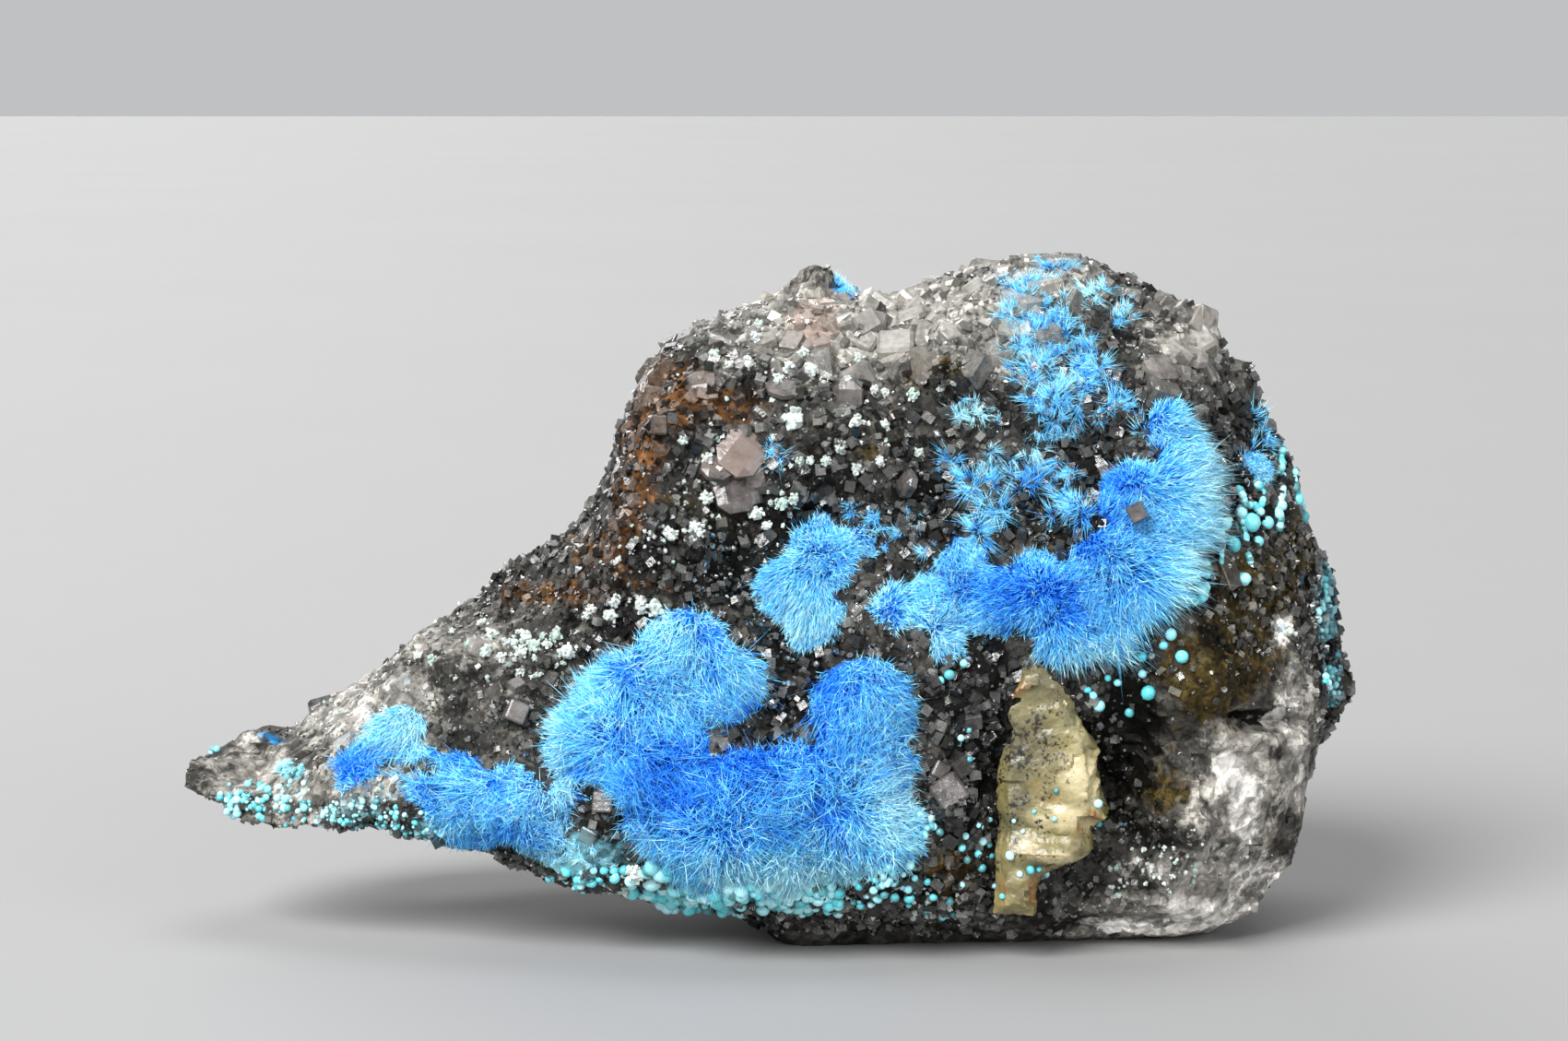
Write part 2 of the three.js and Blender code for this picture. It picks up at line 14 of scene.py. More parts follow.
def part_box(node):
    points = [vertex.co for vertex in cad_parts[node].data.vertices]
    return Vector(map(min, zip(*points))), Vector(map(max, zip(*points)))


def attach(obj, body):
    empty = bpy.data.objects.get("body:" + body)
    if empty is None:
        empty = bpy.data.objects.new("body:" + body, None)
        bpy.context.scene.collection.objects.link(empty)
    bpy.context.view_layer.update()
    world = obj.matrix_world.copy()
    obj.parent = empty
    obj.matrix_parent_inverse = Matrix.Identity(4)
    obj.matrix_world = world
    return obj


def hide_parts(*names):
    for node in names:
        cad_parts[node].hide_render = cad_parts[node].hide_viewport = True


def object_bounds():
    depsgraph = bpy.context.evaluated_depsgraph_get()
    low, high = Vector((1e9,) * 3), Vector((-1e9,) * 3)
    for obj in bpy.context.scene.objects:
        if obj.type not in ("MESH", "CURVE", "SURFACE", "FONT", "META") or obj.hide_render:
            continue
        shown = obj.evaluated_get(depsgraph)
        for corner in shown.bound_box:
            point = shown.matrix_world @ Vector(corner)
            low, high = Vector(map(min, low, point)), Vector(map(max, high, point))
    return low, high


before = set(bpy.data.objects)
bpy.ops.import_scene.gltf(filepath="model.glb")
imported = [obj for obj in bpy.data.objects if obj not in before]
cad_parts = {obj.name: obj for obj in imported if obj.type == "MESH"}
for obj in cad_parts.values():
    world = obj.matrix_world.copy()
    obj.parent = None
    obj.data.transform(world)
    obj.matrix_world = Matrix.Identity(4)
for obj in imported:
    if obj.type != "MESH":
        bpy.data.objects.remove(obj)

bl_info = {
    "name": "Blue Needle Specimen",
    "version": (1, 0, 0),
    "blender": (4, 5, 0),
    "location": "View3D > Sidebar > Specimen",
    "description": "Builds a drusy quartz specimen with blue needles, turquoise beads and a yellow blade",
    "category": "Add Mesh",
}

CAD_BOX = [list(corner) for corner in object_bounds()]
BODY = "root"
MM = 0.001

# The photograph's frame. Places in it are (x, y) pixels, and patches are
# (x, y, half width, half height, strength)
PHOTO_WIDTH = 1701
PHOTO_HEIGHT = 1129
SENSOR_WIDTH = 36.0

# How far furs are looked for above the rock and beside their solids, and how far below it the search starts
FUR_REACH = 8 * MM
FUR_MARGIN = 2.5 * MM
FUR_SINK = 0.3 * MM

# The lowest fur that grows, the lowest that hides the druse, and how deep a needle's root is
FUR_LEAST = 0.3 * MM
FUR_HIDES = 0.4 * MM
ROOT_DEPTH = 0.12 * MM

# Reach in millimetres and lean of a fur that has no crowns in the photograph
PLAIN_CROWN = (3.0, 0.7)

# Height of the rock's foot, which stays flat and bare
FOOT_HEIGHT = 0.8 * MM

# Relief of the rock in millimetres: broken faces where it is bare, facets, grains and fine lumps
LEDGE_RISE = 1.1
FACET_RISE = 0.55
BARE_FACET_RISE = 0.25
GRAIN_RISE = 0.42
FINE_RISE = 0.09
ROCK_SETTLE = 0.06

# Relief of the blade in millimetres: broken steps, chips and fine lumps
STEP_RISE = 0.75
CHIP_RISE = 0.12
BLADE_FINE_RISE = 0.06
BLADE_SETTLE = 0.1

# Druse crystals in millimetres: the smallest, and how much larger the largest are
CRYSTAL_LEAST = 0.09
CRYSTAL_SPAN = 0.33
CREST_LEAST = 0.4
CREST_SPAN = 0.65

# Tiny blocks on each white ball, sheaves on each spray's crown, and needles in each sheaf
BALL_BLOCKS = 12
SHEAVES = 6
SHEAF_NEEDLES = 13

# Strung beads: pixels from one to the next, and their least and greatest radius in millimetres
STRUNG_SPACING = 2.4
STRUNG_RADII = (0.2, 0.28)

# First numbers of the random draws
SEEDS = {"facets": 5, "druse": 11, "balls": 23, "beads": 37, "furs": 100, "sprays": 200}

# Studio lamps: the way their light goes, their strength and their softness in degrees
LAMPS = {
    "key": ((0.5, 0.75, -0.75), 6.2, 30),
    "front": ((0.1, 0.95, -0.08), 1.1, 50),
    "fill": ((-0.75, 0.7, -0.3), 1.4, 40),
    "top": ((-0.1, -0.2, -1.0), 1.2, 40),
    "back": ((0.3, -0.9, -0.4), 1.0, 40),
}
LAMP_HEIGHT = 0.5
FLOOR_SIZE = 8.0
NEAREST_SEEN = 0.01

# Surroundings: their colour, and their strength from the horizon's band up
SURROUNDINGS = (0.96, 0.97, 1.0, 1.0)
HORIZON_BAND = (0.02, 0.2)
HORIZON_STRENGTH = 0.55
SKY_STRENGTH = 0.18

# Colour zones of the rock's face
ZONE_PATCHES = {
    "pale": [
        (960, 348, 220, 66, 1.0), (1110, 300, 90, 34, 0.9), (1290, 370, 50, 70, 0.7),
        (480, 700, 150, 46, 0.55), (390, 765, 90, 60, 1.0), (370, 850, 120, 40, 0.8),
        (1345, 850, 50, 100, 1.0), (1330, 960, 100, 46, 1.0), (1408, 800, 26, 100, 1.0),
        (1300, 880, 40, 50, 0.7), (270, 835, 70, 40, 0.8), (1230, 1005, 150, 14, 1.0),
        (1300, 985, 130, 30, 1.0), (570, 770, 70, 40, 0.45), (300, 890, 80, 14, 0.7),
        (1240, 940, 50, 34, 0.5), (1385, 690, 16, 26, 0.9), (860, 320, 50, 30, 0.6),
        (700, 420, 16, 40, 0.6),
    ],
    "white": [
        (1348, 872, 20, 46, 1.0), (1328, 830, 22, 20, 0.8), (1260, 1003, 90, 10, 0.8),
        (1392, 775, 20, 26, 0.55), (1235, 945, 30, 26, 0.5), (1392, 684, 12, 16, 0.9),
        (1370, 950, 50, 30, 0.55), (1310, 988, 90, 20, 0.7), (1412, 830, 14, 60, 0.5),
        (300, 862, 90, 26, 0.42), (390, 765, 60, 44, 0.42), (1010, 312, 60, 16, 0.4),
        (930, 330, 40, 16, 0.4),
    ],
    "brown": [
        (1350, 660, 60, 70, 1.0), (1310, 730, 70, 60, 1.0), (1250, 860, 50, 60, 0.7),
        (1405, 610, 20, 60, 1.0), (1010, 402, 50, 30, 0.6), (930, 480, 80, 50, 0.5),
        (790, 560, 100, 60, 0.5), (1035, 945, 46, 40, 0.9), (880, 390, 12, 20, 0.5),
    ],
    "pink": [
        (885, 350, 34, 34, 0.9), (802, 508, 36, 44, 0.7), (950, 460, 40, 26, 0.4),
        (1300, 985, 60, 20, 0.4),
    ],
    # Dark rock, and painted shade in the hollows, such as between the fur's lobes and beside the blade
    "dark": [
        (860, 545, 110, 60, 0.8), (800, 620, 130, 50, 1.0), (850, 730, 46, 56, 1.2),
        (1000, 545, 70, 60, 0.9), (1140, 560, 70, 40, 1.0), (1180, 490, 60, 50, 0.8),
        (1050, 740, 56, 60, 1.2), (1050, 850, 34, 110, 1.0), (1220, 800, 40, 90, 1.1),
        (1250, 900, 46, 40, 0.7), (1150, 1000, 90, 16, 0.7), (700, 600, 60, 50, 0.9),
        (1372, 778, 40, 9, 1.1), (1365, 530, 46, 60, 1.1), (1440, 690, 14, 90, 1.0),
        (1290, 640, 40, 30, 0.9), (470, 870, 60, 26, 0.5), (970, 960, 60, 26, 1.0),
        (740, 480, 50, 60, 0.55), (1060, 450, 50, 30, 0.5), (870, 515, 90, 34, 0.5),
        (720, 680, 140, 24, 0.8), (640, 640, 50, 26, 0.7), (1236, 556, 16, 16, 0.9),
        (1310, 680, 40, 60, 0.5), (1090, 975, 60, 24, 0.6), (600, 870, 40, 20, 0.4),
    ],
    "rust": [
        (722, 425, 40, 44, 1.3), (795, 440, 40, 24, 1.1), (698, 485, 26, 50, 1.2),
        (684, 545, 22, 45, 1.2), (655, 592, 36, 20, 1.0), (600, 642, 70, 14, 0.9),
        (770, 520, 26, 30, 0.5), (690, 620, 60, 26, 0.5), (1040, 945, 40, 30, 0.6),
        (1385, 930, 16, 40, 0.4), (870, 386, 14, 14, 0.6), (1275, 700, 30, 30, 0.4),
    ],
    "turquoise": [
        (318, 835, 18, 12, 1.0), (270, 870, 46, 20, 0.4), (400, 870, 70, 30, 0.5),
        (470, 905, 60, 16, 0.7), (640, 928, 50, 24, 1.0), (840, 965, 70, 22, 0.9),
        (1440, 650, 14, 60, 0.9), (1446, 740, 14, 40, 0.7), (570, 715, 40, 22, 0.25),
        (215, 812, 16, 8, 0.8), (745, 975, 120, 18, 0.6), (1412, 690, 10, 60, 0.3),
        (1050, 790, 30, 60, 0.2), (420, 735, 40, 14, 0.3),
    ],
    "blue": [(914, 309, 8, 10, 0.8), (926, 322, 8, 8, 0.8), (297, 803, 16, 3, 0.8)],
}
BARE_PATCHES = [
    (1345, 850, 80, 110, 1.0), (1330, 960, 110, 60, 1.0), (1320, 720, 90, 80, 0.4),
    (1250, 800, 50, 80, 0.6), (270, 820, 60, 30, 1.0), (1230, 1005, 170, 16, 1.0),
    (880, 305, 80, 24, 1.0), (635, 925, 40, 22, 0.9),
]
SUGARY_PATCHES = [
    (960, 342, 240, 60, 1.0), (1290, 380, 60, 90, 0.9), (480, 690, 160, 40, 0.35),
    (390, 760, 90, 60, 0.4), (1120, 290, 120, 24, 0.9), (700, 400, 20, 50, 0.7), (900, 400, 130, 40, 0.5),
]

# Where the druse is fine
FINE_PATCHES = [
    (480, 700, 190, 70, 1.0), (390, 785, 150, 90, 1.0), (290, 850, 170, 70, 1.0),
    (1300, 850, 140, 170, 0.8),
]

# Relief of the rock beyond the solid's own, with the rise in millimetres in place of a strength
RELIEF_PATCHES = [
    (1372, 782, 46, 9, -1.2), (870, 560, 50, 40, -0.5), (1350, 850, 30, 50, 0.4),
    (1320, 985, 90, 14, 0.4), (1225, 800, 34, 60, -0.6), (900, 1010, 110, 26, -0.8),
    (1096, 778, 24, 40, -1.2),
]

# Colour zones of the blade's face, and its own relief in millimetres
BLADE_PATCHES = {
    "olive": [
        (1108, 805, 26, 46, 1.0), (1140, 742, 30, 26, 0.9), (1104, 860, 18, 40, 0.8),
        (1094, 893, 18, 20, 0.9), (1132, 795, 22, 36, 0.6), (1165, 775, 16, 20, 0.7),
        (1180, 805, 10, 14, 0.7),
    ],
    "amber": [
        (1108, 752, 18, 26, 0.75), (1122, 965, 9, 24, 0.9), (1186, 886, 12, 9, 0.8),
        (1118, 924, 20, 7, 0.5), (1088, 965, 12, 26, 0.5), (1140, 868, 20, 10, 0.4),
        (1172, 900, 10, 12, 0.5), (1125, 850, 16, 10, 0.35),
    ],
    "bright": [
        (1172, 846, 24, 26, 1.0), (1156, 886, 22, 14, 1.0), (1150, 930, 36, 8, 0.9),
        (1104, 950, 16, 16, 0.5), (1172, 795, 12, 20, 0.5), (1130, 890, 20, 14, 0.6),
        (1112, 917, 14, 8, 0.6), (1196, 870, 6, 16, 0.6),
    ],
    "speck": [
        (1112, 810, 36, 70, 0.85), (1100, 880, 22, 44, 0.85), (1145, 812, 22, 26, 0.9),
        (1118, 772, 14, 12, 0.8), (1140, 840, 26, 16, 0.7), (1130, 905, 26, 8, 0.6),
        (1150, 790, 24, 24, 0.5), (1140, 750, 26, 20, 0.5),
    ],
}
BLADE_RELIEF = [
    (1136, 925, 44, 10, 0.6), (1168, 850, 24, 30, 0.35), (1150, 946, 30, 6, -0.7),
    (1182, 893, 12, 6, -0.5), (1155, 886, 20, 14, 0.3), (1100, 900, 20, 10, -0.3),
    (1115, 750, 14, 20, 0.2),
]
BLADE_WIDENING = [(1120, 772, 18, 22, 1.4)]

# Where the needles are deepest and palest in colour
DEEP_PATCHES = [
    (735, 848, 60, 44, 0.62), (800, 826, 50, 34, 0.5), (880, 800, 80, 40, 0.28), (905, 745, 24, 20, 0.45),
    (1098, 645, 34, 34, 0.6), (1060, 640, 30, 24, 0.45), (1205, 525, 30, 34, 0.55),
    (1180, 585, 40, 26, 0.4), (1150, 650, 46, 36, 0.4), (555, 908, 56, 16, 0.4), (385, 828, 24, 18, 0.45),
    (500, 822, 26, 18, 0.4), (745, 730, 50, 20, 0.2), (1125, 522, 18, 14, 0.35),
    (1140, 345, 20, 16, 0.25), (845, 880, 50, 40, 0.2),
]
PALE_BLUE_PATCHES = [
    (1285, 630, 26, 60, 0.5), (1225, 705, 60, 22, 0.55), (1305, 540, 22, 70, 0.5),
    (860, 945, 90, 22, 0.55), (970, 880, 36, 44, 0.5), (600, 790, 34, 34, 0.2), (650, 930, 46, 18, 0.6),
    (448, 775, 34, 34, 0.5), (610, 915, 40, 22, 0.35), (600, 850, 26, 26, 0.4), (870, 670, 40, 34, 0.25),
    (700, 670, 36, 20, 0.25), (1010, 690, 30, 20, 0.4), (1120, 485, 36, 14, 0.6),
    (1180, 330, 40, 34, 0.35), (1060, 450, 40, 20, 0.5), (950, 640, 20, 18, 0.3), (750, 685, 56, 26, 0.3),
    (925, 700, 44, 18, 0.3), (690, 735, 40, 34, 0.2), (800, 720, 30, 24, 0.25),
]

# Furs stand all over the rock under their solid and part from crowns: (x, y, reach in millimetres, lean).
# Some have sprays beside them
FURS = {
    "blue_mat_lower": {
        "count": 18000,
        "tangle": 0.5,
        "crowns": [
            (748, 672, 4.2, 1.7), (682, 722, 4.2, 1.5), (928, 712, 3.2, 1.2), (735, 835, 2.6, 0.5),
            (800, 828, 2.6, 0.5), (860, 830, 2.8, 0.7), (785, 905, 3.0, 0.9), (900, 870, 3.2, 0.9),
            (715, 890, 2.8, 0.9), (660, 800, 3.0, 1.1),
        ],
    },
    "blue_mat_left": {
        "count": 7500,
        "tangle": 0.5,
        "crowns": [
            (446, 750, 3.2, 1.7), (385, 826, 1.6, 0.7), (500, 815, 1.8, 0.8), (535, 845, 2.2, 1.0),
            (590, 850, 2.0, 1.2), (560, 905, 2.2, 0.7), (470, 862, 2.0, 1.0),
        ],
        "sprays": [
            (606, 914, 0.8), (618, 924, 0.8), (630, 932, 0.8), (642, 922, 0.8), (654, 934, 0.7),
            (626, 916, 0.7), (640, 938, 0.7), (664, 942, 0.6), (612, 930, 0.7),
        ],
    },
    "blue_mat_right": {
        "count": 15500,
        "tangle": 0.26,
        "crowns": [
            (1262, 450, 2.4, 0.9), (1215, 520, 3.6, 1.1), (1180, 585, 4.6, 1.2), (1130, 640, 4.0, 1.0),
            (1100, 615, 1.8, 1.1), (1040, 640, 2.2, 1.0), (965, 650, 2.0, 1.2), (1016, 682, 1.6, 1.3),
            (1030, 580, 1.8, 1.0),
        ],
    },
    "blue_tuft_centre": {
        "count": 5000,
        "tangle": 0.28,
        "crowns": [(882, 592, 4.4, 1.7), (930, 568, 2.0, 1.2)],
    },
    "blue_mat_spur": {"count": 1700, "tangle": 0.3, "crowns": []},
    "blue_tuft_edge": {
        "count": 1000,
        "tangle": 0.3,
        "crowns": [(1366, 462, 2.6, 1.3)],
        "sprays": [
            (1362, 452, 1.7), (1370, 468, 1.8), (1358, 488, 1.5), (1350, 506, 1.3), (1374, 484, 1.4),
        ],
    },
}
# Outlines in the photograph that keep a fur's roots off what lies beside it
FUR_OUTLINES = {
    "blue_mat_right": [
        (1205, 405), (1264, 415), (1288, 470), (1296, 540), (1288, 575), (1274, 607), (1254, 637),
        (1228, 664), (1200, 688), (1170, 706), (1130, 708), (1080, 704), (920, 740), (890, 600),
        (1000, 540), (1150, 530),
    ],
}
# Where the furs are thin and the rock shows
NEEDLE_GAPS = [
    (455, 833, 28, 13, 1.2), (418, 850, 30, 10, 1.1), (484, 858, 22, 7, 0.9), (562, 868, 20, 6, 0.7),
    (636, 890, 20, 22, 1.2), (600, 884, 14, 9, 0.7), (852, 738, 34, 30, 1.0), (820, 752, 26, 14, 0.8),
    (900, 880, 26, 12, 0.5), (960, 830, 14, 20, 0.5), (655, 880, 16, 26, 0.8), (480, 800, 14, 10, 0.5),
    (1010, 660, 16, 10, 0.4), (1085, 690, 24, 8, 0.7), (640, 830, 14, 8, 0.7), (925, 690, 12, 8, 0.4),
]
# Where the furs are short and felted
FELT_PATCHES = [
    (390, 822, 40, 24, 0.6), (477, 800, 18, 16, 0.5), (550, 920, 80, 22, 0.6), (450, 832, 44, 16, 0.7),
    (640, 930, 40, 24, 0.6), (600, 884, 24, 14, 0.5), (800, 955, 90, 16, 0.4),
]
# Sprays are splayed sheaves on crowns of their own: (x, y, reach in millimetres), then bands of lesser ones
SPRAYS = {
    "blue_spray_top": (
        [
            (1106, 322, 2.0), (1130, 362, 1.9), (1158, 345, 1.5), (1186, 322, 1.8), (1120, 398, 2.0),
            (1146, 432, 2.2), (1192, 398, 1.7), (1162, 458, 1.8), (1208, 440, 1.7), (1216, 346, 1.4),
            (1182, 378, 1.4), (1098, 345, 1.4), (1050, 448, 1.5), (1135, 402, 1.6), (1240, 470, 1.5),
            (1172, 420, 1.5),
        ],
        [
            (1122, 340, 34, 36, 30, 0.8, 1.5), (1128, 388, 30, 26, 24, 0.8, 1.5),
            (1152, 440, 34, 34, 32, 0.8, 1.6), (1180, 390, 26, 26, 14, 0.7, 1.3),
            (1190, 318, 34, 12, 12, 0.7, 1.2), (1208, 444, 18, 16, 9, 0.7, 1.3),
            (1058, 442, 26, 16, 10, 0.6, 1.2), (1222, 346, 14, 14, 6, 0.6, 1.1),
        ],
    ),
    "blue_spray_middle": (
        [
            (1032, 498, 1.7), (1054, 522, 1.7), (1078, 526, 1.5), (1124, 521, 1.8), (1122, 486, 2.0),
            (1148, 500, 1.6), (1068, 556, 1.8), (1172, 546, 1.8),
        ],
        [
            (1048, 515, 26, 26, 11, 0.8, 1.7), (1128, 515, 34, 16, 13, 0.8, 1.8),
            (1160, 545, 40, 20, 8, 1.0, 2.2), (985, 575, 40, 24, 8, 0.5, 1.1),
            (1070, 565, 20, 30, 8, 1.0, 2.2), (945, 555, 22, 12, 6, 0.5, 1.1),
        ],
    ),
    "blue_tuft_crest": (
        [(1140, 289, 1.6), (1128, 282, 1.2), (1160, 292, 1.1)],
        [(1145, 288, 16, 6, 4, 0.6, 1.0)],
    ),
    "blue_tuft_small": ([(843, 494, 1.5), (836, 484, 1.1)], [(842, 492, 6, 8, 2, 0.5, 0.9)]),
}

# Beads one by one, as (x, y, radius in millimetres), and strings of beads as runs of places
BEAD_STRINGS = [
    [(1390, 488), (1389, 503), (1384, 511), (1396, 520)],
    [(1403, 511), (1402, 525), (1406, 536), (1413, 552)],
    [(1360, 523), (1366, 530), (1370, 540), (1367, 550)],
    [(1342, 531), (1348, 540), (1350, 548), (1360, 549), (1368, 557)],
    [(1344, 552), (1346, 562), (1348, 578), (1350, 588)],
    [(1391, 531), (1387, 545), (1386, 556), (1388, 566), (1386, 575)],
    [(1332, 565), (1322, 566), (1323, 580), (1323, 598), (1323, 612)],
    [(1332, 585), (1337, 596)],
    [(1353, 602), (1356, 612)],
    [(1307, 611), (1308, 627)],
    [(1307, 637), (1304, 648), (1295, 654), (1283, 655)],
    [(1346, 625), (1350, 633)],
]
BEADS_RIGHT = [
    (1354, 568, 0.6), (1373, 567, 0.42), (1363, 588, 0.34), (1334, 591, 0.5), (1404, 543, 0.42),
    (1411, 561, 0.42), (1386, 508, 0.38), (1388, 550, 0.38), (1326, 568, 0.42), (1308, 618, 0.36),
    (1300, 640, 0.42), (1348, 628, 0.4), (1296, 628, 0.3), (1282, 712, 0.42), (1270, 688, 0.36),
    (1262, 700, 0.28), (1240, 712, 0.3), (1344, 557, 0.4), (1290, 650, 0.36), (1403, 530, 0.34),
]
BEADS_SCATTERED = [
    (1247, 750, 0.46), (1226, 772, 0.28), (1192, 764, 0.36), (1186, 754, 0.26), (1180, 748, 0.22),
    (1213, 740, 0.24), (1146, 857, 0.16), (1190, 872, 0.28), (1192, 893, 0.24), (1117, 942, 0.28),
    (1126, 942, 0.2), (1096, 928, 0.28), (1106, 948, 0.2), (1134, 948, 0.24), (1062, 895, 0.26),
    (1064, 912, 0.26), (1060, 926, 0.24), (1064, 941, 0.26), (1074, 928, 0.2), (1046, 906, 0.24),
    (1042, 918, 0.26), (1048, 932, 0.24), (1072, 916, 0.18), (1020, 902, 0.24), (1010, 888, 0.22),
    (998, 905, 0.24), (984, 915, 0.26), (975, 930, 0.3), (962, 940, 0.3), (1030, 975, 0.26),
    (1012, 972, 0.24), (1004, 985, 0.28), (1022, 992, 0.26), (1034, 990, 0.22), (1050, 790, 0.24),
    (1042, 800, 0.22), (1052, 822, 0.24), (1046, 720, 0.28), (1030, 732, 0.3), (1020, 738, 0.24),
    (1078, 960, 0.2), (1088, 972, 0.18), (1100, 890, 0.14), (1122, 880, 0.14), (1110, 902, 0.14),
    (1144, 888, 0.16), (1240, 730, 0.28), (1202, 735, 0.2), (1073, 889, 0.18), (1043, 959, 0.2),
]
# Bands that carry many of their own: (x, y, half width, half height, count, least and greatest radius)
BEAD_BANDS = {
    "turquoise_crust_lower": [
        (640, 955, 50, 12, 60, 0.12, 0.32), (745, 975, 60, 14, 110, 0.2, 0.5),
        (850, 972, 60, 16, 110, 0.16, 0.42), (940, 955, 46, 26, 70, 0.14, 0.32),
        (700, 948, 26, 12, 10, 0.36, 0.56), (990, 920, 26, 36, 36, 0.13, 0.26),
    ],
    "turquoise_crust_tail": [
        (285, 868, 46, 20, 60, 0.1, 0.28), (370, 885, 60, 16, 90, 0.08, 0.2),
        (440, 895, 50, 14, 60, 0.08, 0.18), (318, 836, 14, 8, 20, 0.07, 0.14),
        (225, 812, 16, 6, 14, 0.16, 0.3), (250, 870, 18, 14, 18, 0.14, 0.28),
    ],
    "turquoise_crust_bump": [(1436, 650, 8, 34, 20, 0.12, 0.28), (1444, 735, 8, 30, 18, 0.12, 0.26)],
}

# White drusy balls, as (x, y, radius in millimetres), and bands of smaller ones as for the beads
WHITE_BALLS = [
    (864, 457, 0.72), (928, 460, 0.5), (880, 403, 0.5), (858, 400, 0.46), (844, 415, 0.46),
    (872, 383, 0.42), (820, 368, 0.42), (931, 391, 0.42), (776, 386, 0.36), (812, 395, 0.42),
    (791, 397, 0.34), (962, 427, 0.34), (957, 462, 0.4), (991, 430, 0.4), (850, 546, 0.46),
    (862, 542, 0.42), (821, 557, 0.5), (832, 570, 0.34), (912, 485, 0.38), (895, 500, 0.34),
    (880, 500, 0.3), (868, 500, 0.32), (930, 506, 0.42), (955, 500, 0.34), (996, 492, 0.34),
    (768, 498, 0.42), (778, 510, 0.34), (765, 540, 0.42), (726, 580, 0.44), (752, 572, 0.4),
    (758, 580, 0.34), (740, 478, 0.34), (920, 415, 0.34), (1022, 420, 0.3), (948, 424, 0.3),
    (893, 543, 0.28), (697, 656, 0.56), (712, 659, 0.56), (669, 652, 0.4), (664, 667, 0.46),
    (645, 662, 0.4), (640, 668, 0.36), (617, 708, 0.52), (580, 700, 0.46), (566, 708, 0.46),
    (572, 692, 0.5), (558, 698, 0.4), (535, 690, 0.46), (528, 708, 0.42), (545, 715, 0.36),
    (604, 690, 0.4), (596, 700, 0.36), (510, 700, 0.36), (470, 718, 0.36), (455, 712, 0.32),
    (565, 732, 0.36), (690, 946, 0.56), (676, 962, 0.46), (1395, 684, 0.5), (823, 353, 0.34),
]
BALL_BANDS = [
    (880, 430, 110, 80, 40, 0.09, 0.2), (880, 545, 120, 40, 30, 0.08, 0.18),
    (570, 705, 80, 30, 36, 0.1, 0.24), (760, 560, 60, 60, 20, 0.08, 0.2),
    (1250, 945, 46, 26, 40, 0.08, 0.2), (1015, 980, 24, 16, 26, 0.1, 0.24),
    (1040, 660, 60, 60, 20, 0.08, 0.18), (1388, 690, 10, 18, 10, 0.12, 0.24),
    (780, 500, 8, 26, 12, 0.1, 0.24), (690, 560, 40, 60, 24, 0.09, 0.2),
    (1330, 930, 50, 30, 24, 0.06, 0.14), (360, 770, 60, 30, 30, 0.06, 0.16),
]

# Larger crystals, as (x, y, half width, half height, half depth in millimetres)
FUSED_BLOCKS = [
    (804, 492, 1.4, 1.35, 0.5), (797, 536, 1.2, 1.2, 0.42), (777, 507, 0.9, 0.9, 0.36),
    (818, 520, 0.8, 0.9, 0.42), (984, 525, 0.75, 0.75, 0.4), (850, 420, 1.0, 0.9, 0.3),
    (920, 430, 0.9, 0.9, 0.3), (1000, 395, 1.1, 1.0, 0.35), (970, 385, 0.9, 0.9, 0.3),
    (760, 415, 0.9, 0.8, 0.3), (1260, 400, 1.0, 1.1, 0.4), (1292, 385, 1.1, 1.0, 0.4),
]
CUBE_CRYSTALS = [
    (1030, 860, 0.9, 0.9, 0.8), (990, 345, 0.8, 0.7, 0.4), (860, 372, 0.7, 0.6, 0.4),
    (560, 772, 0.6, 0.6, 0.4), (540, 752, 0.5, 0.5, 0.4), (598, 735, 0.45, 0.45, 0.4),
    (560, 745, 0.45, 0.4, 0.4), (655, 870, 0.6, 0.6, 0.4), (640, 905, 0.5, 0.5, 0.4),
    (1300, 350, 0.8, 0.7, 0.5), (1265, 330, 0.7, 0.7, 0.5), (1040, 830, 0.6, 0.6, 0.6),
    (1018, 835, 0.5, 0.5, 0.5), (1332, 621, 1.0, 0.7, 0.3), (1055, 780, 0.5, 0.5, 0.5),
    (728, 372, 0.6, 0.6, 0.4), (1236, 556, 0.55, 0.5, 2.4),
]


def srgb(red, green, blue):
    """A colour of the photograph, 0 to 255, as the linear one that shaders take."""
    channels = [value / 255 for value in (red, green, blue)]
    return tuple(c / 12.92 if c <= 0.04045 else ((c + 0.055) / 1.055) ** 2.4 for c in channels)


def tone_of(colour, factor):
    """A colour made darker or lighter by a factor."""
    return tuple(min(1.0, factor * channel) for channel in colour)


def colour_property(title, colour, description):
    """A colour that a user can change."""
    return FloatVectorProperty(name=title, description=description, default=srgb(*colour), subtype="COLOR")


def length_property(title, millimetres, description):
    """A length that a user can change."""
    return FloatProperty(
        name=title, description=description, default=millimetres * MM, unit="LENGTH", precision=5
    )


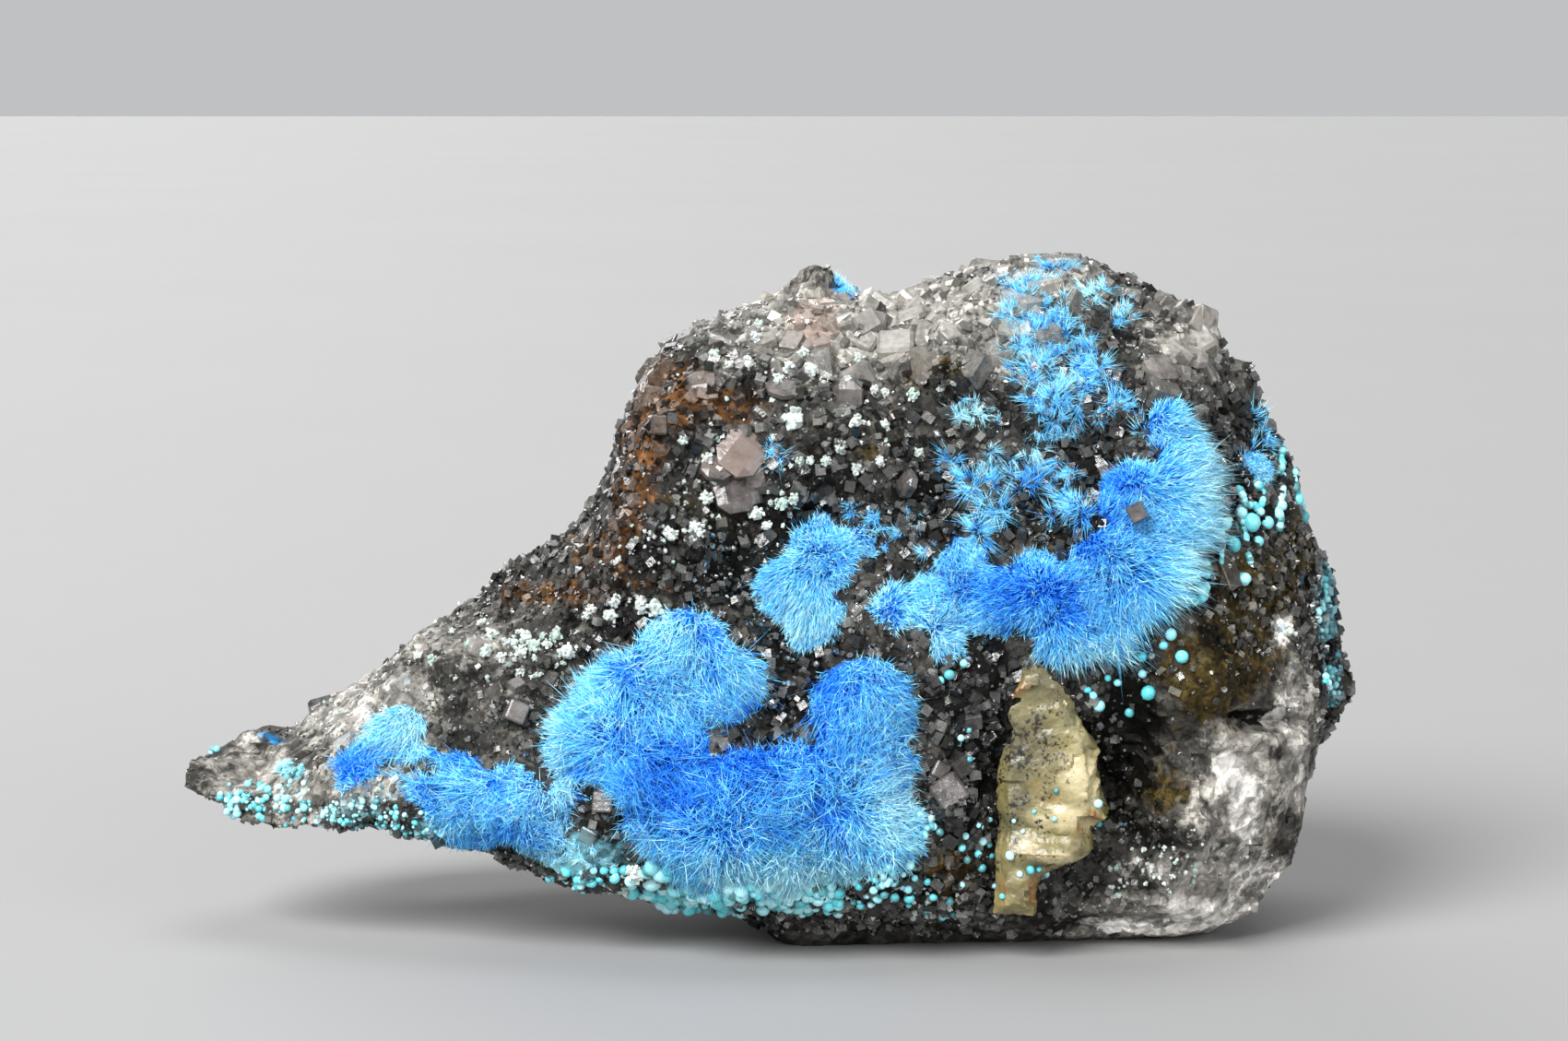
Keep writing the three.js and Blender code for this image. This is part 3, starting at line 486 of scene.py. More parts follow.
class RockSettings(bpy.types.PropertyGroup):
    """The matrix and the crystals grown on it."""

    voxel: length_property("Voxel", 0.39, "Fineness of the rock's mesh")
    ledge: length_property("Ledge", 4.6, "Size of the large broken faces where the rock is bare")
    facet: length_property("Facet", 2.3, "Size of the broken facets")
    grain: length_property("Grain", 0.85, "Size of the grains")
    point_count: IntProperty(name="Points", description="Small quartz points on the face", default=4200)
    cube_count: IntProperty(name="Cubes", description="Small cubes on the face", default=9500)
    back_count: IntProperty(name="Back druse", description="Small quartz points on the back", default=2000)
    crest_count: IntProperty(name="Crest blocks", description="Fused blocks on the upper edge", default=300)
    grey: colour_property("Grey", (80, 78, 73), "Bare rock")
    pale: colour_property("Pale", (168, 164, 156), "Milky quartz")
    white: colour_property("White", (232, 228, 222), "Bruised white quartz")
    # Dark rock, and the painted shade of the hollows
    dark: colour_property("Dark", (11, 10, 8), "Dark hollows")
    rust: colour_property("Rust", (82, 54, 28), "Iron stain")
    brown: colour_property("Brown", (82, 69, 36), "Olive brown rock")
    pink: colour_property("Pink", (168, 144, 132), "Pinkish quartz")
    turquoise: colour_property("Turquoise", (136, 206, 222), "Turquoise crust")
    dust: colour_property("Blue dust", (70, 160, 228), "Blue dust on the rock")
    clear: colour_property("Clear quartz", (150, 152, 150), "Clouds in the small crystals")
    milky: colour_property("Milky blocks", (140, 139, 134), "Clouds in the crest's blocks")
    smoky: colour_property("Smoky crystals", (140, 133, 130), "Clouds in the large crystals")


class NeedleSettings(bpy.types.PropertyGroup):
    """The blue needles."""

    thickness: length_property("Thickness", 0.078, "Width at the root")
    jitter: FloatProperty(name="Jitter", description="How far the stout needles stray", default=0.7)
    bent: FloatProperty(name="Bent", description="Share of the stout needles that bend", default=0.15)
    hairs: FloatProperty(name="Hairs", description="Loose hairs to each stout needle of a fur", default=0.5)
    deep: colour_property("Deep", (4, 62, 216), "In the cores")
    clear: colour_property("Clear", (30, 128, 245), "Usual blue")
    sky: colour_property("Sky", (104, 208, 250), "Towards the tips")
    tip: colour_property("Tip", (196, 246, 255), "Palest tips")


class GrowthSettings(bpy.types.PropertyGroup):
    """The beads, the balls and the blade."""

    bead: colour_property("Bead", (82, 196, 208), "Turquoise beads")
    bead_pale: colour_property("Pale bead", (178, 229, 236), "Worn tops of the beads")
    bead_dull: colour_property("Dull bead", (70, 122, 126), "Dusty beads")
    ball: colour_property("Ball", (192, 200, 196), "White drusy balls")
    ball_green: colour_property("Green ball", (160, 184, 174), "Balls with a touch of green")
    ball_dirt: colour_property("Ball dirt", (104, 100, 90), "Dirt in the gaps of the balls")
    straw: colour_property("Straw", (146, 135, 88), "Blade")
    amber: colour_property("Amber", (132, 92, 46), "Stained blade")
    olive: colour_property("Olive", (94, 90, 62), "Left half of the blade")
    bright: colour_property("Bright straw", (188, 176, 136), "Broken faces of the blade")
    speck: colour_property("Speck", (32, 28, 22), "Fine specks in the blade")
    blade_voxel: length_property("Blade voxel", 0.2, "Fineness of the blade's mesh")


class StageSettings(bpy.types.PropertyGroup):
    """The camera, the lights and what the specimen stands on."""

    lens: FloatProperty(name="Lens", description="Focal length in millimetres", default=100.0)
    distance: length_property("Distance", 262.5, "From the camera to its target")
    elevation: FloatProperty(
        name="Elevation", description="Angle of the view down", default=math.radians(6), subtype="ANGLE"
    )
    target: FloatVectorProperty(
        name="Target",
        description="Point at the picture's centre",
        default=(0.44 * MM, 0, 24.6 * MM),
        unit="LENGTH",
    )
    light: FloatProperty(name="Light", description="Strength of the lamps", default=1.0)
    floor: FloatVectorProperty(
        name="Floor", description="Pale floor", default=(0.27, 0.27, 0.27), subtype="COLOR"
    )


# Places in the photograph


def camera_axes():
    """The camera's place and its right, up and forward directions."""
    stage = bpy.context.scene.specimen_stage
    forward = np.array([0, math.cos(stage.elevation), -math.sin(stage.elevation)])
    upward = np.array([0, math.sin(stage.elevation), math.cos(stage.elevation)])
    eye = np.array(stage.target) - forward * stage.distance
    return eye, np.array([1.0, 0, 0]), upward, forward


def focal_pixels():
    """The lens's focal length in pixels of the photograph."""
    return bpy.context.scene.specimen_stage.lens / SENSOR_WIDTH * PHOTO_WIDTH


def in_photo(points):
    """Where points of the specimen are seen in the photograph."""
    eye, right, upward, forward = camera_axes()
    away = points - eye
    depth = away @ forward
    x = PHOTO_WIDTH / 2 + focal_pixels() * (away @ right) / depth
    y = PHOTO_HEIGHT / 2 - focal_pixels() * (away @ upward) / depth
    return x, y


def photo_ray(x, y):
    """Start and direction of the line of sight through a place in the photograph."""
    eye, right, upward, forward = camera_axes()
    across = (x - PHOTO_WIDTH / 2) / focal_pixels()
    up = (PHOTO_HEIGHT / 2 - y) / focal_pixels()
    return Vector(eye), Vector(forward + across * right + up * upward).normalized()


def patches_at(points, patches):
    """The strongest of the bell-shaped patches at each point."""
    x, y = in_photo(points)
    total = np.zeros(len(points))
    for centre_x, centre_y, wide, tall, strength in patches:
        bell = strength * np.exp(-(((x - centre_x) / wide) ** 2) - ((y - centre_y) / tall) ** 2)
        total = np.where(np.abs(bell) > np.abs(total), bell, total)
    return total


def within(points, outline):
    """Which points are seen inside an outline in the photograph."""
    x, y = in_photo(points)
    inside = np.zeros(len(points), bool)
    for (x0, y0), (x1, y1) in zip(outline, outline[1:] + outline[:1]):
        crosses = (y0 > y) != (y1 > y)
        inside ^= crosses & (x < x0 + (y - y0) * (x1 - x0) / (y1 - y0 or 1))
    return inside


def banded(bands, rng):
    """Random places in bands of the photograph: (x, y, a number from the band's least to its greatest)."""
    spread, furthest = 0.62, 1.6
    made = []
    for x, y, wide, tall, count, least, most in bands:
        across = np.clip(rng.normal(size=(count, 2)), -furthest, furthest) * (spread * wide, spread * tall)
        numbers = rng.uniform(least, most, count)
        made += [(x + dx, y + dy, number) for (dx, dy), number in zip(across, numbers)]
    return made


# Meshes


def select_only(piece):
    """Makes a piece the only selected one, and the active one."""
    bpy.ops.object.select_all(action="DESELECT")
    piece.select_set(True)
    bpy.context.view_layer.objects.active = piece


def in_edit_mode(piece, *steps):
    """Runs edit-mode steps on all of a piece."""
    select_only(piece)
    bpy.ops.object.mode_set(mode="EDIT")
    bpy.ops.mesh.select_all(action="SELECT")
    for step in steps:
        step()
    bpy.ops.object.mode_set(mode="OBJECT")


def apply_modifier(piece, kind, **values):
    """Adds a modifier with its values, and applies it."""
    select_only(piece)
    modifier = piece.modifiers.new(kind.title(), kind)
    for name, value in values.items():
        setattr(modifier, name, value)
    bpy.ops.object.modifier_apply(modifier=modifier.name)


def points_of(mesh, field="co"):
    """A mesh's vertex places or normals as an array."""
    values = np.empty(len(mesh.vertices) * 3, np.float32)
    mesh.vertices.foreach_get(field, values)
    return values.reshape(-1, 3).astype(float)


def triangles_of(mesh):
    """A mesh's triangles as an array of vertex numbers."""
    mesh.calc_loop_triangles()
    corners = np.empty(len(mesh.loop_triangles) * 3, np.int32)
    mesh.loop_triangles.foreach_get("vertices", corners)
    return corners.reshape(-1, 3)


def set_attribute(mesh, name, values):
    """Stores a number or a direction for each vertex."""
    kind, field = ("FLOAT", "value") if values.ndim == 1 else ("FLOAT_VECTOR", "vector")
    layer = mesh.attributes.new(name, kind, "POINT")
    layer.data.foreach_set(field, values.astype(np.float32).ravel())


def attribute_of(mesh, name):
    """Reads back what set_attribute stored."""
    layer = mesh.attributes[name]
    wide, field = (1, "value") if layer.data_type == "FLOAT" else (3, "vector")
    values = np.empty(len(mesh.vertices) * wide, np.float32)
    layer.data.foreach_get(field, values)
    return values.astype(float) if wide == 1 else values.reshape(-1, 3).astype(float)


def inside_box(points):
    """Points kept inside the solids' own box."""
    return np.clip(points, *np.array(CAD_BOX))


def array_piece(name, points, triangles, material, smooth=False, **attributes):
    """A piece made of many small things, from arrays of points and triangles."""
    mesh = bpy.data.meshes.new(name)
    mesh.from_pydata(inside_box(points), [], triangles)
    for key, values in attributes.items():
        set_attribute(mesh, key, values)
    mesh.polygons.foreach_set("use_smooth", np.full(len(triangles), smooth))
    mesh.materials.append(material)
    mesh.update()
    piece = bpy.data.objects.new(name, mesh)
    bpy.context.scene.collection.objects.link(piece)
    return piece


def node_copy(node, name):
    """A new piece with a CAD node's mesh, its loose triangles merged."""
    piece = bpy.data.objects.new(name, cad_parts[node].data.copy())
    piece.data.materials.clear()
    bpy.context.scene.collection.objects.link(piece)
    in_edit_mode(piece, lambda: bpy.ops.mesh.remove_doubles(threshold=1e-6))
    return piece


def placed(piece, slot, *nodes):
    """Hands a finished piece to the frame."""
    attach(piece, BODY)
    if nodes:
        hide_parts(*nodes)


def modelled_once(add, *steps):
    """A modelled shape: its points and triangles, for copying."""
    bpy.ops.object.select_all(action="DESELECT")
    add()
    shape = bpy.context.object
    in_edit_mode(shape, *steps, bpy.ops.mesh.quads_convert_to_tris)
    bpy.ops.object.transform_apply(location=True)
    model = points_of(shape.data), triangles_of(shape.data)
    bpy.data.objects.remove(shape)
    return model


def quartz_point():
    """A six-sided prism with a pyramid on it, rooted below the ground."""
    radius, prism, pyramid, shoulder = 0.6, 0.9, 0.7, 0.5
    faces_down = -0.9

    def draw_down():
        bpy.ops.object.mode_set(mode="OBJECT")
        for face in bpy.context.object.data.polygons:
            face.select = face.normal.z < faces_down
        bpy.ops.object.mode_set(mode="EDIT")
        bpy.ops.mesh.select_mode(type="FACE")
        bpy.ops.mesh.extrude_region_move(TRANSFORM_OT_translate={"value": (0, 0, -prism)})
        bpy.ops.mesh.select_all(action="SELECT")

    def add():
        middle = (0, 0, shoulder + pyramid / 2)
        bpy.ops.mesh.primitive_cone_add(vertices=6, radius1=radius, depth=pyramid, location=middle)

    return modelled_once(add, draw_down)


def quartz_cube():
    """A small plain cube, for the finest druse."""
    return modelled_once(lambda: bpy.ops.mesh.primitive_cube_add(size=1.5))


def worn_block(bevel):
    """A cube with its edges worn off."""
    return modelled_once(
        lambda: bpy.ops.mesh.primitive_cube_add(size=2.0),
        lambda: bpy.ops.mesh.bevel(offset=bevel, segments=1, affect="EDGES"),
    )


def round_ball(fineness):
    """A ball of triangles."""
    return modelled_once(lambda: bpy.ops.mesh.primitive_ico_sphere_add(subdivisions=fineness, radius=1.0))


def normalised(vectors):
    """Vectors at length one."""
    return vectors / np.maximum(np.linalg.norm(vectors, axis=-1, keepdims=True), 1e-12)


def side_axes(normals, rng):
    """Two directions across each normal, turned at random about it."""
    first = normalised(np.cross(normals, rng.normal(size=normals.shape)))
    return first, np.cross(normals, first)


def copies_of(model, places, normals, sizes, rng, tilt=0.0):
    """Copies of a shape standing on places along normals: all their points and triangles."""
    points, triangles = model
    normals = normalised(normals + tilt * rng.normal(size=normals.shape))
    axes = (*side_axes(normals, rng), normals)
    local = points[None] * sizes[:, None]
    made = places[:, None] + sum(local[..., i : i + 1] * axis[:, None] for i, axis in enumerate(axes))
    offsets = np.arange(len(places))[:, None, None] * len(points)
    return made.reshape(-1, 3), (triangles[None] + offsets).reshape(-1, 3)


def joined_arrays(*parts):
    """Several arrays of points and triangles as one."""
    starts = np.cumsum([0, *(len(points) for points, _ in parts)])
    points = np.concatenate([points for points, _ in parts])
    return points, np.concatenate([triangles + start for (_, triangles), start in zip(parts, starts)])


def per_point(values, model):
    """One value for each copy, repeated for each of its points."""
    return np.repeat(values, len(model[0]), axis=0)


# Ray-cast trees and the rock's surface


def tree_of(mesh):
    """Ray-cast tree of a mesh."""
    return BVHTree.FromPolygons(points_of(mesh).tolist(), triangles_of(mesh).tolist())


@lru_cache(maxsize=None)
def node_tree(node):
    """Ray-cast tree of a CAD node."""
    return tree_of(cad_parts[node].data)


class RockSurface:
    """The finished rock as arrays, with a ray-cast tree, for planting things on it."""

    def __init__(self, mesh):
        self.points = points_of(mesh)
        self.triangles = triangles_of(mesh)
        self.tree = tree_of(mesh)
        corners = self.points[self.triangles]
        sides = np.cross(corners[:, 1] - corners[:, 0], corners[:, 2] - corners[:, 0])
        self.areas = np.linalg.norm(sides, axis=1) / 2
        self.centres = corners.mean(axis=1)
        self.normals = normalised(attribute_of(mesh, "broad_normal")[self.triangles].mean(axis=1))
        self.facing = -(self.normals @ camera_axes()[3])
        names = (*ZONE_PATCHES, "cover")
        self.zones = {name: attribute_of(mesh, name)[self.triangles].mean(axis=1) for name in names}

    def scatter(self, count, weights, rng):
        """Places, normals and triangles of random points, with more where the weights are higher."""
        share = self.areas * weights
        chosen = rng.choice(len(share), size=count, p=share / share.sum())
        mix = rng.dirichlet((1, 1, 1), size=count)
        places = (self.points[self.triangles[chosen]] * mix[..., None]).sum(axis=1)
        return places, self.normals[chosen], chosen

    def seen_at(self, x, y):
        """Place, normal and triangle of the rock at a place in the photograph, or None beside it."""
        hit, _, triangle, _ = self.tree.ray_cast(*photo_ray(x, y))
        return None if hit is None else (np.array(hit), self.normals[triangle], triangle)

    def seen_list(self, places):
        """The places that show the rock: points, normals, triangles, and their numbers after x and y."""
        found = [(self.seen_at(*place[:2]), place[2:]) for place in places]
        found = [(*spot, rest) for spot, rest in found if spot]
        return tuple(np.array(column) for column in zip(*found))

    def zones_at(self, chosen, model):
        """The colour zones at chosen triangles, for each point of the copies that stand there."""
        return {name: per_point(self.zones[name][chosen], model) for name in ZONE_PATCHES}


@lru_cache(maxsize=None)
def rock_surface():
    """The surface of the rock once it is built."""
    return RockSurface(bpy.data.objects["matrix_rock"].data)


# Shader nodes


class Shader:
    """A material or node group being wired up."""

    def __init__(self, tree):
        self.tree = tree

    def add(self, kind, inputs=None, **values):
        """A node with its values set and its inputs joined or set."""
        node = self.tree.nodes.new(kind)
        for name, value in values.items():
            setattr(node, name, value)
        for name, value in (inputs or {}).items():
            self.feed(node.inputs[name], value)
        return node

    def feed(self, socket, value):
        """Joins a socket to another, or sets it."""
        if isinstance(value, bpy.types.NodeSocket):
            self.tree.links.new(value, socket)
        elif socket.type == "RGBA":
            socket.default_value = (*value[:3], 1)
        else:
            socket.default_value = value

    def attribute(self, name):
        """A number stored on the mesh."""
        return self.add("ShaderNodeAttribute", attribute_name=name).outputs["Fac"]

    def place(self):
        """The point's own place on the specimen."""
        return self.add("ShaderNodeTexCoord").outputs["Object"]

    def noise(self, scale, detail=4.0, roughness=0.6):
        """Cloudy noise, with a scale in waves to the metre."""
        inputs = {"Vector": self.place(), "Scale": scale, "Detail": detail, "Roughness": roughness}
        return self.add("ShaderNodeTexNoise", inputs).outputs["Fac"]

    def chips(self, scale, stray=0.6, darkest=0.55, palest=1.4):
        """Angular chips, each of a tone of its own, with a scale in chips to the metre."""
        cloud = self.add("ShaderNodeTexNoise", {"Vector": self.place(), "Scale": scale}).outputs["Color"]
        bent = self.add("ShaderNodeVectorMath", operation="MULTIPLY_ADD")
        for socket, value in zip(bent.inputs, (cloud, (stray / scale,) * 3, self.place())):
            self.feed(socket, value)
        cells = self.add("ShaderNodeTexVoronoi", {"Vector": bent.outputs[0], "Scale": scale})
        tone = self.add("ShaderNodeSeparateColor", {"Color": cells.outputs["Color"]}).outputs["Red"]
        return self.span(tone, 0.0, 1.0, darkest, palest)

    def maths(self, operation, first, second=0.0):
        """One sum of two values."""
        node = self.add("ShaderNodeMath", operation=operation)
        self.feed(node.inputs[0], first)
        self.feed(node.inputs[1], second)
        return node.outputs[0]

    def blend(self, first, second, share):
        """Two values weighed against each other."""
        rest = self.maths("MULTIPLY", first, 1 - share)
        return self.maths("ADD", rest, self.maths("MULTIPLY", second, share))

    def span(self, value, low, high, to_low=0.0, to_high=1.0):
        """A value stretched from one span to another, kept inside it."""
        inputs = {"Value": value, "From Min": low, "From Max": high, "To Min": to_low, "To Max": to_high}
        return self.add("ShaderNodeMapRange", inputs).outputs["Result"]

    def mix(self, share, first, second):
        """Two colours mixed by a share."""
        node = self.add("ShaderNodeMix", data_type="RGBA")
        self.feed(node.inputs[0], share)
        self.feed(node.inputs[6], first)
        self.feed(node.inputs[7], second)
        return node.outputs[2]

    def shaded(self, colour, value):
        """A colour made darker or lighter by a value."""
        node = self.add("ShaderNodeVectorMath", operation="SCALE")
        self.feed(node.inputs[0], colour)
        self.feed(node.inputs["Scale"], value)
        return node.outputs[0]

    def ramp(self, value, *stops):
        """A colour from a row of (position, colour) stops."""
        node = self.add("ShaderNodeValToRGB", {"Fac": value})
        elements = node.color_ramp.elements
        while len(elements) < len(stops):
            elements.new(1.0)
        for element, (position, colour) in zip(elements, stops):
            element.position = position
            element.color = (*colour, 1)
        return node.outputs["Color"]

    def bump(self, height, distance):
        """A normal bent by a height, with the distance in metres."""
        return self.add("ShaderNodeBump", {"Height": height, "Distance": distance}).outputs["Normal"]

    def group(self, group, **inputs):
        """A node group's outputs, with its inputs set."""
        node = self.add("ShaderNodeGroup")
        node.node_tree = group
        for name, value in inputs.items():
            self.feed(node.inputs[name], value)
        return node.outputs


def material_with(name, **constants):
    """A material, its wiring and its surface's sockets, with the numbers that are the same all over."""
    material = bpy.data.materials.new(name)
    material.use_nodes = True
    surface = material.node_tree.nodes["Principled BSDF"]
    for key, value in constants.items():
        surface.inputs[key.replace("_", " ")].default_value = value
    return material, Shader(material.node_tree), surface.inputs


def new_group(name, inputs, outputs):
    """An empty node group with its sockets, and its wiring."""
    group = bpy.data.node_groups.new(name, "ShaderNodeTree")
    for title, default in inputs.items():
        socket = group.interface.new_socket(title, in_out="INPUT", socket_type="NodeSocketFloat")
        socket.default_value = default
    for title, kind in outputs.items():
        group.interface.new_socket(title, in_out="OUTPUT", socket_type=kind)
    shader = Shader(group)
    return group, shader, shader.add("NodeGroupInput").outputs, shader.add("NodeGroupOutput").inputs


@lru_cache(maxsize=None)
def grain_group():
    """Mineral grain: a height and a mottle, at a scale in grains to the metre."""
    outputs = {"Height": "NodeSocketFloat", "Mottle": "NodeSocketFloat"}
    group, shader, given, out = new_group("Mineral grain", {"Scale": 1000.0}, outputs)
    fine = shader.noise(given["Scale"], detail=5.0, roughness=0.65)
    cells = shader.add("ShaderNodeTexVoronoi", {"Vector": shader.place(), "Scale": given["Scale"]}).outputs
    shader.feed(out["Height"], shader.maths("ADD", fine, shader.maths("MULTIPLY", cells["Distance"], 0.6)))
    broad = shader.noise(shader.maths("MULTIPLY", given["Scale"], 0.22), detail=6.0, roughness=0.7)
    shader.feed(out["Mottle"], shader.blend(fine, broad, 0.55))
    return group


@lru_cache(maxsize=None)
def zone_group():
    """The rock's colours: grey, with each zone that it carries laid over it in turn."""
    rock = bpy.context.scene.specimen_rock
    group, shader, given, out = new_group("Rock zones", {"Ragged": 0.5}, {"Color": "NodeSocketColor"})
    ragged = shader.noise(620.0, detail=6.0, roughness=0.7)
    speckle = shader.noise(2600.0, detail=3.0)
    blotch = shader.blend(ragged, speckle, 0.5)
    edge = shader.maths("MULTIPLY", shader.maths("SUBTRACT", ragged, 0.5), given["Ragged"])
    edge = shader.maths("MULTIPLY", edge, 2.4)

    def share(name, most):
        shifted = shader.maths("ADD", shader.attribute(name), edge)
        return shader.span(shifted, 0.34, 0.6, to_high=most)

    def mottled(colour, dark, low=0.36, high=0.64):
        return shader.mix(shader.span(blotch, low, high), tone_of(colour, dark), colour)

    colour = shader.mix(shader.span(speckle, 0.35, 0.65), tone_of(rock.grey, 0.4), rock.grey)
    black, orange = tone_of(rock.rust, 0.08), tone_of(rock.rust, 1.9)
    for name, most, coat in (
        ("pale", 1.0, mottled(rock.pale, dark=0.5, low=0.4, high=0.58)),
        ("brown", 1.0, mottled(rock.brown, dark=0.2, low=0.42, high=0.58)),
        ("pink", 0.7, mottled(rock.pink, dark=0.8)),
        # The dark zone lays both dark rock and painted shade in the hollows
        ("dark", 0.95, mottled(rock.dark, dark=0.5)),
        ("rust", 1.0, shader.ramp(blotch, (0.38, black), (0.48, rock.rust), (0.6, orange))),
        ("white", 1.0, mottled(rock.white, dark=0.75)),
        ("turquoise", 0.85, mottled(rock.turquoise, dark=0.6)),
        ("blue", 1.0, rock.dust),
    ):
        colour = shader.mix(share(name, most), colour, coat)
    shader.feed(out["Color"], colour)
    return group


# The pieces' materials


def rock_material():
    """Dull drusy rock: its zones, darkened as painted shade where the relief between grains is low, and
    blue under the needles.
    """
    material, shader, surface = material_with("Drusy rock", Specular_IOR_Level=0.08)
    grain = shader.group(grain_group(), Scale=1500.0)
    zones = shader.group(zone_group(), Ragged=0.9)["Color"]
    # Painted shade: the colour is darkened where the relief is low, to 0.06 of itself on plain rock and to
    # 0.5 on the palest zones
    milky = shader.maths("MAXIMUM", shader.attribute("pale"), shader.attribute("white"))
    deepest = shader.span(milky, 0.2, 0.9, 0.06, 0.5)
    gaps = shader.span(shader.attribute("hollow"), -0.8, 0.4, deepest, 1.0)
    chips = shader.maths("MULTIPLY", shader.chips(560.0), shader.chips(1700.0))
    mottle = shader.maths("MULTIPLY", shader.span(grain["Mottle"], 0.34, 0.66, 0.4, 1.3), chips)
    colour = shader.shaded(zones, shader.maths("MULTIPLY", gaps, mottle))
    under = shader.span(shader.attribute("cover"), 0.3 * MM, 1.0 * MM)
    felt = tone_of(bpy.context.scene.specimen_needles.clear, 0.75)
    shader.feed(surface["Base Color"], shader.mix(under, colour, felt))
    shader.feed(surface["Roughness"], shader.span(grain["Mottle"], 0.3, 0.7, 0.25, 0.7))
    shader.feed(surface["Normal"], shader.bump(grain["Height"], 0.14 * MM))
    return material


def quartz_material(name, tint, transmission, roughness, cloudy):
    """Glassy quartz: see-through, clouded, with the rock's zones showing in its colour, and its brightest
    crystals lit up as painted glints.
    """
    material, shader, surface = material_with(
        name, IOR=1.54, Transmission_Weight=transmission, Specular_IOR_Level=0.28
    )
    zones = shader.group(zone_group(), Ragged=0.3)["Color"]
    milky = shader.span(shader.noise(900.0, detail=5.0), 0.35, 0.7)
    colour = shader.mix(shader.span(milky, 0.0, 1.0, 0.1, cloudy), zones, tint)
    least = shader.span(shader.attribute("pale"), 0.2, 0.7, 0.15, 0.75)
    # Each crystal's tone scales its colour from dark up to 3.2 times: the brightest crystals are painted
    # glints
    tone = shader.span(shader.attribute("tone"), 0.0, 1.0, least, 3.2)
    shader.feed(surface["Base Color"], shader.shaded(colour, tone))
    shader.feed(surface["Roughness"], shader.span(milky, 0.0, 1.0, roughness, roughness + 0.16))
    grain = shader.group(grain_group(), Scale=2600.0)
    shader.feed(surface["Normal"], shader.bump(grain["Height"], 0.04 * MM))
    return material


def needle_material():
    """Silky blue needles: deep at the root and in the cores, pale at the tip."""
    needles = bpy.context.scene.specimen_needles
    material, shader, surface = material_with("Blue needles", Specular_IOR_Level=0.1)
    along = shader.attribute("along")
    value = shader.maths("MULTIPLY", shader.attribute("shade"), 0.74)
    value = shader.maths("ADD", value, shader.maths("MULTIPLY", along, 0.36))
    stops = (0.05, needles.deep), (0.32, needles.clear), (0.66, needles.sky), (1.0, needles.tip)
    shader.feed(surface["Base Color"], shader.ramp(value, *stops))
    shader.feed(surface["Roughness"], shader.span(along, 0.0, 1.0, 0.55, 0.32))
    return material


def bead_material():
    """Waxy turquoise beads, dusty or worn pale."""
    growth = bpy.context.scene.specimen_growth
    material, shader, surface = material_with("Turquoise beads", IOR=1.55)
    grain = shader.group(grain_group(), Scale=3800.0)
    worn = shader.maths("ADD", shader.attribute("tone"), shader.maths("SUBTRACT", grain["Mottle"], 0.5))
    colour = shader.ramp(worn, (0.05, growth.bead_dull), (0.3, growth.bead), (0.95, growth.bead_pale))
    shader.feed(surface["Base Color"], colour)
    shader.feed(surface["Roughness"], shader.span(grain["Mottle"], 0.3, 0.7, 0.22, 0.55))
    shader.feed(surface["Normal"], shader.bump(grain["Height"], 0.03 * MM))
    return material


def ball_material():
    """White drusy balls with a touch of green, dirty in the gaps."""
    growth = bpy.context.scene.specimen_growth
    material, shader, surface = material_with("White drusy balls", IOR=1.5)
    grain = shader.group(grain_group(), Scale=4200.0)
    tinted = shader.mix(shader.span(shader.attribute("tone"), 0.5, 1.0), growth.ball, growth.ball_green)
    dirt = shader.span(grain["Mottle"], 0.3, 0.5, 0.6, 0.0)
    shader.feed(surface["Base Color"], shader.mix(dirt, tinted, growth.ball_dirt))
    shader.feed(surface["Roughness"], shader.span(grain["Mottle"], 0.3, 0.7, 0.35, 0.7))
    shader.feed(surface["Normal"], shader.bump(grain["Height"], 0.06 * MM))
    return material


def blade_material():
    """The blade: straw yellow, olive to the left, amber where stained, with fine black specks."""
    growth = bpy.context.scene.specimen_growth
    material, shader, surface = material_with(
        "Straw yellow blade",
        IOR=1.58,
        Transmission_Weight=0.2,
        Subsurface_Weight=0.12,
        Subsurface_Scale=1.2 * MM,
    )
    cloud = shader.noise(420.0, detail=6.0, roughness=0.65)
    grain = shader.group(grain_group(), Scale=2400.0)
    stray = shader.maths("SUBTRACT", cloud, 0.5)

    def share(name, low, high, most=1.0):
        return shader.span(shader.maths("ADD", shader.attribute(name), stray), low, high, 0.0, most)

    colour = shader.mix(shader.span(cloud, 0.35, 0.68), tone_of(growth.straw, 0.45), growth.straw)
    colour = shader.mix(share("olive", 0.2, 0.7, 0.9), colour, growth.olive)
    colour = shader.mix(share("amber", 0.25, 0.75, 0.9), colour, growth.amber)
    colour = shader.mix(share("bright", 0.25, 0.8), colour, growth.bright)
    specks = shader.noise(4200.0, detail=3.0, roughness=0.6)
    drifts = shader.noise(900.0, detail=3.0, roughness=0.6)
    dark = shader.maths("ADD", specks, shader.maths("MULTIPLY", shader.attribute("speck"), 0.19))
    dark = shader.maths("ADD", dark, shader.maths("MULTIPLY", shader.maths("SUBTRACT", drifts, 0.5), 0.8))
    colour = shader.mix(shader.span(dark, 0.66, 0.74), colour, growth.speck)
    shader.feed(surface["Base Color"], colour)
    shader.feed(surface["Roughness"], shader.span(grain["Mottle"], 0.3, 0.7, 0.16, 0.42))
    shader.feed(surface["Normal"], shader.bump(grain["Height"], 0.07 * MM))
    return material


def floor_material():
    """Pale floor with a hardly visible mottle."""
    floor = bpy.context.scene.specimen_stage.floor
    material, shader, surface = material_with("Pale floor", Roughness=0.7)
    cloud = shader.span(shader.noise(6.0), 0.3, 0.7)
    shader.feed(surface["Base Color"], shader.mix(cloud, tone_of(floor, 0.97), floor))
    return material


# Relief


